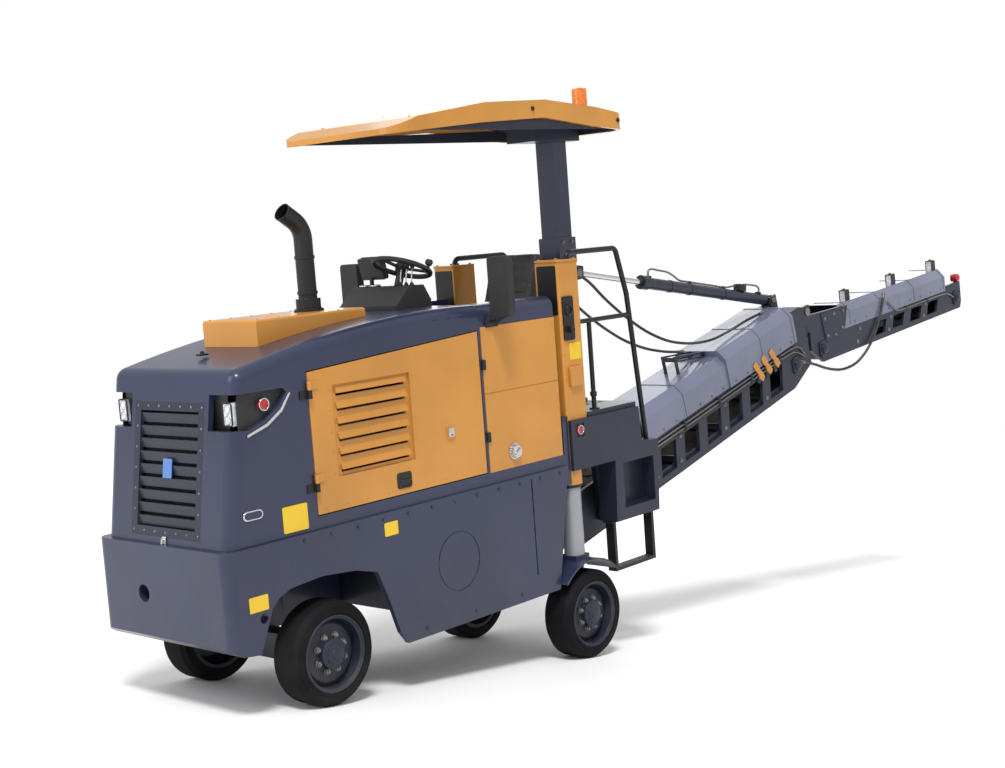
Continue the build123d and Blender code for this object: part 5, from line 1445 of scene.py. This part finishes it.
# ------------------------------------------------------------------ conveyor
@dataclass
class Conveyor(Assembly):
    """Bands, fasteners, bearings, belt bars and pipes of both sections; X runs back towards the machine."""

    lower_half: float = 0.220
    upper_half: float = 0.190
    wide_half: float = 0.234
    lower_bar_z: float = 0.1495
    upper_bar_z: float = -0.2585
    bar_pitch: float = 0.20
    pulley_z: Pair = (0.025, -0.345)

    def on_lower(self, name: str, surfaces: list[Surface], slot: Slot) -> None:
        """Fit a piece drawn in the lower section's frame, on that section."""
        self.fit(name, surfaces, slot, self.places.lower, "lower_conveyor")

    def on_upper(self, name: str, surfaces: list[Surface], slot: Slot) -> None:
        """Fit a piece drawn in the upper section's frame, on that section."""
        self.fit(name, surfaces, slot, self.places.upper, "upper_conveyor")

    @staticmethod
    def section(out: float, half: float, low: float, top: float) -> np.ndarray:
        """Cross-section of a cover, moved out by a distance."""
        shoulder, crown = top - 0.070 + out * 0.5, half - 0.060 + out * 0.5
        return np.array([(-half - out, low), (-half - out, shoulder), (-crown, top + out), (crown, top + out),
                         (half + out, shoulder), (half + out, low)])

    def band(self, s: float, width: float, half: float, low: float, top: float) -> Surface:
        """Folded band over a cover: two copies of its cross-section moved out, carried along by a width."""
        cover = (half, low, top)
        loop = np.concatenate([self.section(0.004, *cover), self.section(0.0005, *cover)[::-1]])
        points = np.concatenate([np.column_stack([np.full(len(loop), x), loop]) for x in (-s - width, -s)])
        count = len(loop)
        faces = grid_faces(2, count, round_columns=True)
        for base, flip in ((0, False), (count, True)):
            for k in range(count // 2 - 1):
                quad = (base + k, base + k + 1, base + count - 2 - k, base + count - 1 - k)
                faces.append(quad[::-1] if flip else quad)
        return Surface(points, faces)

    def covers(self) -> None:
        """Folded bands and flange screws of both covers."""
        # The bands take the covers' pale blue-grey, a painted sky reflection.
        lower = [self.band(s, 0.030, self.lower_half, 0.202, 0.440) for s in (0.610, 1.120)]
        lower += [self.band(s, 0.030, self.wide_half, 0.202, 0.485) for s in (2.180, 2.650)]
        self.on_lower("lower_cover_bands", lower, Slot.PALE)
        upper = [self.band(s, 0.026, self.upper_half, -0.228, -0.050) for s in (0.720, 1.250, 1.880, 2.462)]
        self.on_upper("upper_cover_bands", upper, Slot.PALE)
        screw = bolt(0.013, 0.006)
        for side, sign, outwards in SIDES:
            spots = [(-s, sign * self.lower_half, 0.226) for s in np.linspace(0.68, 1.62, 7)]
            spots += [(-s, sign * self.wide_half, 0.226) for s in np.linspace(1.78, 2.60, 6)]
            self.on_lower(side + "_lower_cover_screws", [set_at(screw, spots, outwards)], Slot.STEEL)
            spots = [(-s, sign * self.upper_half, -0.216) for s in np.linspace(0.80, 2.40, 9)]
            self.on_upper(side + "_upper_cover_screws", [set_at(screw, spots, outwards)], Slot.STEEL)

    def bearings(self) -> None:
        """Flanged bearings at the pulleys and bolt heads at the idlers."""
        low_z, high_z = self.pulley_z
        lower = ("lower", self.on_lower, self.lower_half, [(-2.640, low_z), (0.290, low_z)],
                 [(-s - shift, z) for s in (0.400, 0.700, 1.300, 1.900)
                  for z, shift in ((0.108, 0.295), (-0.058, 0.250))])
        upper = ("upper", self.on_upper, self.upper_half, [(-0.250, high_z), (-2.695, high_z)],
                 [(-s - shift, z) for s in (0.550, 1.100, 1.760)
                  for z, shift in ((-0.295, 0.315), (-0.395, 0.265))])
        for side, sign, outwards in SIDES:
            for label, fit, half, pulleys, idlers in (lower, upper):
                fit(f"{side}_{label}_bearings", self.bearing(pulleys, sign, half, outwards), Slot.DARK)
                heads = [(x, sign * half, z) for x, z in idlers]
                fit(f"{side}_{label}_idler_bolts", [set_at(bolt(0.026, 0.009), heads, outwards)], Slot.STEEL)

    @staticmethod
    def bearing(pulleys: list[Pair], sign: float, half: float, outwards: Triple) -> list[Surface]:
        """Flange, housing and four bolts at each pulley's end."""
        flange = prism(rounded_outline(0.130, 0.130, 0.040, 8), 0.012, 0.003)
        house = lathe([(0.044, 0), (0.042, 0.014), (0.030, 0.022), (0.018, 0.024), (0, 0.024)], 32)
        y = sign * half
        built = [set_at(flange, [(x, y, z)], outwards) for x, z in pulleys]
        built += [set_at(house, [(x, y + sign * 0.010, z)], outwards) for x, z in pulleys]
        corners = [(x + dx, y + sign * 0.012, z + dz) for x, z in pulleys for dx in (-0.048, 0.048)
                   for dz in (-0.048, 0.048)]
        return [*built, set_at(bolt(0.015, 0.007), corners, outwards)]

    def belts(self) -> None:
        """Chevron bars on the belts' outer faces, and guards beside the lower belt's return run."""
        arm = block(0.016, 0.150, 0.009, 0.005, 0.002)
        chevron = joined([arm.moved(Matrix.Rotation(math.radians(sign * 28), 4, "Z")).at(0, sign * 0.072, 0)
                          for _, sign, _ in SIDES])
        low = [chevron.at(-float(s), 0, self.lower_bar_z) for s in np.arange(-0.20, 2.60, self.bar_pitch)]
        self.on_lower("lower_belt_bars", low, Slot.BELT)
        high = [chevron.at(-float(s), 0, self.upper_bar_z) for s in np.arange(0.34, 2.66, self.bar_pitch)]
        self.on_upper("upper_belt_bars", high, Slot.BELT)
        guard = block(1.930, 0.004, 0.037, 0.0015, 0.0008)
        self.on_lower("lower_belt_guards", [guard.at(-1.585, sign * 0.188, -0.097) for _, sign, _ in SIDES],
                      Slot.DARK)

    def pipes(self) -> None:
        """Steel pipes with clips along both frames."""
        for side, sign, outwards in SIDES:
            y = sign * (self.lower_half + 0.012)
            lines = []
            for k, z in enumerate((0.148, 0.176)):
                route = [(-0.30, y, z - 0.07), (-0.42, y, z - 0.01), (-0.52, y, z), (-1.20, y, z),
                         (-2.00, y, z),
                         (-2.52 - 0.04 * k, y, z), (-2.66 - 0.04 * k, y, z - 0.03), (-2.76, y, z - 0.10)]
                lines.append(tube(smooth_path(route, 8), 0.0065, 10))
            self.on_lower(side + "_lower_pipes", lines, Slot.STEEL)
            spots = [(-s, sign * self.lower_half, 0.162) for s in (0.60, 1.06, 1.52, 1.98, 2.40)]
            clips = set_at(block(0.030, 0.062, 0.022, 0.006, 0.003), spots, outwards)
            self.on_lower(side + "_lower_pipe_clips", [clips], Slot.BLACK)
            y = sign * (self.upper_half + 0.011)
            route = [(-1.36, y, -0.150), (-1.44, y, -0.205), (-1.56, y, -0.262), (-2.00, y, -0.266),
                     (-2.42, y, -0.270), (-2.56, y, -0.300), (-2.62, y, -0.330)]
            self.on_upper(side + "_upper_pipe", [tube(smooth_path(route, 8), 0.0065, 10)], Slot.STEEL)
            spots = [(-s, sign * self.upper_half, -0.266) for s in (1.70, 2.10)]
            clips = set_at(block(0.026, 0.030, 0.020, 0.006, 0.003), spots, outwards)
            self.on_upper(side + "_upper_pipe_clips", [clips], Slot.BLACK)

    def tie_plates(self) -> None:
        """Three waisted yellow tie plates on the left side, with dark blocks behind them."""
        outline = np.array([(-0.024, -0.085), (0.022, -0.085), (0.030, -0.040), (0.021, -0.006),
                            (0.036, 0.040),
                            (0.028, 0.085), (-0.018, 0.085), (-0.026, 0.045), (-0.017, 0.010),
                            (-0.034, -0.035)])
        spots = [(-s, 0.2355, 0.178 + 0.010 * k) for k, s in enumerate((2.08, 2.20, 2.32))]
        self.on_lower("tie_plates", [set_at(prism(outline, 0.012, 0.003), spots, LEFT, 32)], Slot.YELLOW)
        # Dark blocks behind the plates' lower parts, darkening the cover's side there.
        pads = set_at(block(0.040, 0.100, 0.017, 0.006, 0.002), [(x, 0.2190, 0.140) for x, _, _ in spots],
                      LEFT)
        self.on_lower("tie_plate_dark_blocks", [pads], Slot.DARK)

    def tip(self) -> None:
        """Lamp housings, red lenses, tip flap and drive motor of the upper section."""
        cheek, y = block(0.072, 0.006, 0.084, 0.0025, 0.001), 0.095
        shells = []
        for s in (0.800, 1.620, 2.400):
            x = -s - 0.030
            shells += [block(0.076, 0.058, 0.006, 0.004, 0.002).at(x, y, 0.0345),
                       cheek.at(x, y - 0.028, -0.049), cheek.at(x, y + 0.028, -0.049),
                       block(0.006, 0.058, 0.084, 0.0025, 0.001).at(x - 0.0345, y, -0.049),
                       cylinder(0.010, 0.012, 0.002, 16).at(x, y, 0.0395)]
        self.on_upper("work_lamp_housings", shells, Slot.PLASTIC)
        lens = lathe([(0.0355, 0), (0.0372, 0.004), (0.0372, 0.052), (0.034, 0.062), (0.022, 0.069),
                      (0, 0.071)], 32)
        for side, sign, outwards in SIDES:
            self.on_upper(side + "_tip_lens", [set_at(lens, [(-2.770, sign * 0.131, -0.175)], outwards)],
                          Slot.RED)
        stay = block(0.020, 0.030, 0.070, 0.004, 0.001)
        self.on_upper("tip_lamp_stays", [stay.at(-2.770, sign * 0.160, -0.2785) for _, sign, _ in SIDES],
                      Slot.BLACK)
        motor = lathe([(0.058, 0), (0.062, 0.006), (0.062, 0.060), (0.050, 0.070), (0.050, 0.118),
                       (0.040, 0.128)], 32)
        self.on_upper("belt_motor", [set_at(motor, [(-2.695, -0.212, self.pulley_z[1])], RIGHT)], Slot.BLACK)
        gx, gy = np.meshgrid(np.linspace(0, 1, 12), np.linspace(-0.166, 0.166, 25), indexing="ij")
        flap = np.stack([-2.700 - 0.060 * np.sin(gx * 1.3), gy,
                         -0.232 - 0.115 * gx - 0.006 * np.cos(gy * 60) * gx], -1)
        self.on_upper("tip_flap", [slab(flap, (0.005, 0, 0))], Slot.BELT)

    def pins(self) -> None:
        """Pin heads at the fold and the foot, and bolts of the quadrant plates."""
        head = lathe([(0.030, 0), (0.032, 0.003), (0.032, 0.010), (0.026, 0.013), (0.010, 0.013)], 32)
        foot = self.places.chassis.turned(SLEW_X, 0, 0.500)
        for side, sign, outwards in SIDES:
            self.on_upper(side + "_fold_pin_head", [set_at(head, [(0, sign * 0.2205, 0)], outwards)],
                          Slot.STEEL)
            spots = [(-s, sign * 0.198, z) for s, z in ((0.33, -0.255), (0.45, -0.265), (0.57, -0.230),
                                                       (0.30, -0.110), (0.45, -0.095), (0.60, -0.095))]
            self.on_upper(side + "_quadrant_bolts", [set_at(bolt(0.020, 0.009), spots, outwards)], Slot.STEEL)
            self.fit(side + "_foot_pin_head", [set_at(head, [(0, sign * 0.262, 0)], outwards)], Slot.STEEL,
                     foot,
                     "yoke")

    def build(self) -> None:
        """Fit all of it."""
        self.covers()
        self.bearings()
        self.belts()
        self.pipes()
        self.tie_plates()
        self.tip()
        self.pins()


@dataclass
class LiftCylinder(Assembly):
    """Pipes, port blocks, straps and wiper of the lift cylinder; X runs from the rear pin to the front."""

    barrel_len: float = 1.690
    barrel_r: float = 0.042
    front_port_x: float = 1.600
    rear_port_x: float = 0.180
    valve_x: float = 0.430
    collar_pin: Triple = (-2.850, 0, 2.060)

    def build(self) -> None:
        """Fit all of it."""
        place, top = self.places.cylinder, self.barrel_r
        x = self.front_port_x
        front = [(x, 0, top + 0.004), (x, 0, top + 0.045), (1.560, 0, top + 0.062), (1.480, 0, top + 0.060),
                 (1.380, 0, top + 0.058), (1.300, 0, top + 0.040), (1.220, 0, top + 0.012),
                 (1.100, 0, top + 0.0095),
                 (0.800, 0, top + 0.0095), (0.620, 0, top + 0.0095), (0.500, 0, top + 0.030),
                 (0.400, 0, top + 0.040)]
        x = self.rear_port_x
        rear = [(x, 0.018, top - 0.006), (x, 0.020, top + 0.030), (0.215, 0.022, top + 0.052),
                (0.300, 0.022, top + 0.054), (0.400, 0.022, top + 0.050)]
        self.fit("cylinder_pipes", [tube(smooth_path(route, 8), 0.0075, 10) for route in (front, rear)],
                 Slot.STEEL,
                 place, "lift_barrel")
        port = block(0.042, 0.036, 0.016, 0.006, 0.002)
        ports = [port.at(x, y, top - 0.006) for x, y in ((self.front_port_x, 0), (self.rear_port_x, 0.014))]
        valve = block(0.090, 0.062, 0.052, 0.006, 0.002).at(self.valve_x, 0.010, top - 0.004)
        self.fit("cylinder_ports", [*ports, valve], Slot.BLACK, place, "lift_barrel")
        strap = lathe([(0.0425, 0), (0.046, 0.001), (0.046, 0.021), (0.0425, 0.022)], 32)
        straps = [set_at(strap, [(x, 0, 0)], FORWARD) for x in (0.640, 1.080, 1.330)]
        pads = [block(0.022, 0.026, 0.016, 0.004, 0.001).at(x + 0.011, 0, top) for x in (0.640, 1.080)]
        self.fit("cylinder_straps", [*straps, *pads], Slot.DARK, place, "lift_barrel")
        wiper = lathe([(0.0235, 0), (0.034, 0), (0.032, 0.010), (0.0235, 0.012)], 32)
        self.fit("cylinder_wiper", [set_at(wiper, [(self.barrel_len, 0, 0)], FORWARD)], Slot.BLACK, place,
                 "lift_barrel")
        head = lathe([(0.024, 0), (0.026, 0.002), (0.026, 0.007), (0.020, 0.010)], 28)
        collar = self.places.chassis.turned(*self.collar_pin)
        ends = (("rear", 0.045, place, "lower_conveyor"), ("front", 0.048, collar, "lift_collar"))
        for name, y, where, body in ends:
            heads = [set_at(head, [(0, sign * y, 0)], outwards) for _, sign, outwards in SIDES]
            self.fit(f"cylinder_{name}_pin_heads", heads, Slot.STEEL, where, body)


# ------------------------------------------------------------------ hoses
@dataclass
class Hose(Assembly):
    """A free hose between two bodies: its route, and the fittings at its ends."""

    name: str
    place: Place
    diameter: float
    route: tuple[Triple, ...]
    near_body: str
    far_body: str
    fitting_bodies: tuple[str, str]
    arc_share: float = 0.45
    step: float = 0.012

    def centreline(self) -> np.ndarray:
        """Route's runs joined by arcs, as large as the runs at each corner allow."""
        knots = np.array(self.route)
        pieces = [knots[:1]]
        for before, corner, after in zip(knots, knots[1:], knots[2:]):
            back, ahead = before - corner, after - corner
            run = self.arc_share * min(np.linalg.norm(back), np.linalg.norm(ahead))
            back, ahead = back / np.linalg.norm(back), ahead / np.linalg.norm(ahead)
            half = math.acos(float(np.clip(back @ ahead, -1, 1))) / 2
            middle = (back + ahead) / np.linalg.norm(back + ahead)
            centre = corner + middle * (run / math.cos(half))
            a, b = corner + back * run - centre, corner + ahead * run - centre
            sweep = math.acos(float(np.clip(a @ b / (np.linalg.norm(a) * np.linalg.norm(b)), -1, 1)))
            t = np.linspace(0, 1, 9)[:, None]
            pieces.append(centre + (np.sin((1 - t) * sweep) * a + np.sin(t * sweep) * b) / math.sin(sweep))
        pieces.append(knots[-1:])
        return np.concatenate(pieces)

    def evenly(self, line: np.ndarray) -> np.ndarray:
        """Line cut into short steps."""
        pieces = []
        for a, b in zip(line, line[1:]):
            share = np.linspace(0, 1, max(2, int(np.linalg.norm(b - a) / self.step)), endpoint=False)[:, None]
            pieces.append(a + (b - a) * share)
        return np.concatenate([*pieces, line[-1:]])

    def build(self) -> None:
        """Hose along its route with rounded bends, and a crimped fitting at each end."""
        line = self.centreline()
        world = self.evenly(line) @ self.place.matrix[:3, :3].T + self.place.matrix[:3, 3]
        made = make_mesh(self.name + "_rubber", tube(world, self.diameter / 2, 16))
        made.data.materials.append(self.shop.materials[Slot.HOSE])
        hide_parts(self.name)
        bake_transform(made)
        r = self.diameter / 2
        crimp = [(r + 0.0005, -0.002), (r + 0.003, 0), (r + 0.003, 0.030), (r + 0.005, 0.032),
                 (r + 0.005, 0.044),
                 (r * 0.8, 0.046), (r * 0.8, 0.056)]
        near, far = self.fitting_bodies
        ends = (("near", line[0], line[0] - line[1], near), ("far", line[-1], line[-1] - line[-2], far))
        for label, point, ahead, body in ends:
            way = tuple(float(v) for v in ahead / np.linalg.norm(ahead))
            end = lathe(crimp, 20).at(0, 0, -0.020).moved(facing(way)).at(*point)
            self.fit(f"{self.name}_{label}_fitting", [end], Slot.STEEL, self.place, body)


def hoses(shop: Workshop, places: Places) -> list[Hose]:
    """The free hoses, with their routes in metres.

    Args:
        shop: the workshop.
        places: the places.

    Returns:
        The hoses.
    """
    near, far = 0.2315, 0.2015
    fold = tuple((-s, across, v) for s, across, v in (
        (-0.150, near, -0.372), (0.010, near, -0.420), (0.220, near, -0.505), (0.450, near - 0.004, -0.562),
        (0.700, near - 0.008, -0.560), (0.930, near - 0.014, -0.480), (1.110, near - 0.020, -0.350),
        (1.235, far + 0.004, -0.205), (1.300, far, -0.095)))
    left = ((-0.060, 0.112, 2.052), (-0.170, 0.114, 1.990), (-0.330, 0.112, 1.862), (-0.540, 0.106, 1.728),
            (-0.790, 0.098, 1.596), (-1.060, 0.088, 1.500), (-1.340, 0.080, 1.456), (-1.620, 0.072, 1.452),
            (-1.880, 0.066, 1.498), (-2.120, 0.064, 1.556), (-2.330, 0.064, 1.5915))
    right = ((-0.060, 0.112, 2.010), (-0.170, 0.114, 1.930), (-0.330, 0.110, 1.800), (-0.540, 0.102, 1.662),
             (-0.780, 0.092, 1.535), (-1.020, 0.082, 1.452), (-1.240, 0.070, 1.408), (-1.400, 0.057, 1.3915))
    sections = ("lower_conveyor", "upper_conveyor")
    made = [Hose(shop, places, "fold_hose", places.upper, 0.022, fold, *sections, sections)]
    for name, sign, points in (("left_lift_hose", 1, left), ("right_lift_hose", -1, right)):
        route = tuple((SLEW_X + x, sign * across, z) for x, across, z in points)
        made.append(Hose(shop, places, name, places.chassis, 0.020, route, "yoke", "lower_conveyor",
                         ("lift_collar", "lower_conveyor")))
    return made


# ------------------------------------------------------------------ stage
@dataclass(frozen=True)
class Stage:
    """Plain pale floor, soft lights and a camera as the machine was seen."""

    camera_at: Triple = (8.9328, 6.3847, 1.6669)
    yaw: float = -138.245
    pitch: float = 0.122
    roll: float = 1.170
    lens: float = 54.24
    floor_half: float = 60.0
    middle: Triple = (0.8, 0.0, 1.3)

    def build(self) -> None:
        """Floor, lights, world and camera."""
        scene = bpy.context.scene
        scene.view_settings.view_transform = "Standard"
        self.floor()
        self.world()
        self.sun("key", (7.0, 5.5, 13.0), 2.1, 14.0)
        self.light("fill", (12.0, -2.0, 5.0), 6.0, 260.0)
        self.light("rear", (-13.0, -11.0, 7.5), 12.0, 600.0)
        self.camera()

    def floor(self) -> None:
        """Large pale floor under the tyres."""
        mesh = bpy.data.meshes.new("floor")
        half = self.floor_half
        mesh.from_pydata([(-half, -half, 0), (half, -half, 0), (half, half, 0), (-half, half, 0)], [],
                         [(0, 1, 2, 3)])
        made = bpy.data.objects.new("floor", mesh)
        bpy.context.scene.collection.objects.link(made)
        material = bpy.data.materials.new("floor_pale")
        material.use_nodes = True
        tree = Tree(material.node_tree)
        shader = material.node_tree.nodes["Principled BSDF"]
        shader.inputs["Roughness"].default_value = 0.9
        seen = tree.node("LightPath")
        pale = tree.remap(seen.outputs["Is Camera Ray"], 0.0, 1.0, 0.84, 0.98)
        material.node_tree.links.new(pale, shader.inputs["Base Color"])
        mesh.materials.append(material)
        made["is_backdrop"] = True

    def world(self) -> None:
        """White behind the machine for the camera, softer as a light and in reflections."""
        world = bpy.data.worlds.new("studio")
        bpy.context.scene.world = world
        world.use_nodes = True
        tree = Tree(world.node_tree)
        background = world.node_tree.nodes["Background"]
        seen = tree.node("LightPath")
        strength = tree.remap(seen.outputs["Is Camera Ray"], 0.0, 1.0, 0.62, 1.0)
        background.inputs["Color"].default_value = (1.0, 1.0, 1.0, 1.0)
        world.node_tree.links.new(strength, background.inputs["Strength"])

    def sun(self, name: str, way: Triple, strength: float, spread: float) -> None:
        """Even light from a direction, with soft shadows.

        Args:
            name: its name.
            way: direction that it comes from.
            strength: watts per square metre.
            spread: apparent size in degrees.
        """
        lamp = bpy.data.lights.new(name, "SUN")
        lamp.energy = strength
        lamp.angle = math.radians(spread)
        made = bpy.data.objects.new(name, lamp)
        bpy.context.scene.collection.objects.link(made)
        made.rotation_euler = (-Vector(way)).to_track_quat("-Z", "Y").to_euler()
        made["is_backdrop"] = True

    def light(self, name: str, spot: Triple, size: float, power: float) -> None:
        """Square soft light turned to the machine's middle.

        Args:
            name: its name.
            spot: where it hangs.
            size: side.
            power: watts.
        """
        lamp = bpy.data.lights.new(name, "AREA")
        lamp.shape = "SQUARE"
        lamp.size = size
        lamp.energy = power
        made = bpy.data.objects.new(name, lamp)
        bpy.context.scene.collection.objects.link(made)
        made.location = spot
        made.visible_camera = False
        made.rotation_euler = (Vector(self.middle) - Vector(spot)).to_track_quat("-Z", "Y").to_euler()
        made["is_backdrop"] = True

    def camera(self) -> None:
        """Camera from its place, yaw, pitch, roll and lens."""
        yaw, pitch, roll = (math.radians(value) for value in (self.yaw, self.pitch, self.roll))
        ahead = Vector((math.cos(yaw) * math.cos(pitch), math.sin(yaw) * math.cos(pitch), math.sin(pitch)))
        right = Vector((math.sin(yaw), -math.cos(yaw), 0))
        up = right.cross(ahead)
        right, up = (right * math.cos(roll) + up * math.sin(roll),
                     up * math.cos(roll) - right * math.sin(roll))
        lens = bpy.data.cameras.new("camera")
        lens.lens = self.lens
        lens.sensor_width = 36.0
        lens.clip_end = 200.0
        made = bpy.data.objects.new("camera", lens)
        bpy.context.scene.collection.objects.link(made)
        made.matrix_world = Matrix.Translation(self.camera_at) @ Matrix(
            ((right.x, up.x, -ahead.x), (right.y, up.y, -ahead.y), (right.z, up.z, -ahead.z))).to_4x4()
        bpy.context.scene.camera = made


def corners() -> list[list[float]]:
    """The shown model's lowest and highest corners, as plain numbers."""
    return [[float(value) for value in corner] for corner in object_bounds()]


def main() -> None:
    """Build every sub-assembly in order, then the stage."""
    logging.basicConfig(level=logging.INFO, format="%(name)s: %(message)s")
    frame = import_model()
    places = Places.read(frame)
    shop = Workshop(frame)
    kinds = (Wheels, LiftingColumns, EngineHouse, Lamps, OperatorStation, SeatPads, Canopy, MillingDrum,
             Conveyor, LiftCylinder)
    sections = [*(kind(shop, places) for kind in kinds), *hoses(shop, places), Stage()]
    for section in sections:
        section.build()
        log.info("%s done", type(section).__name__)


if __name__ == "__main__":
    main()
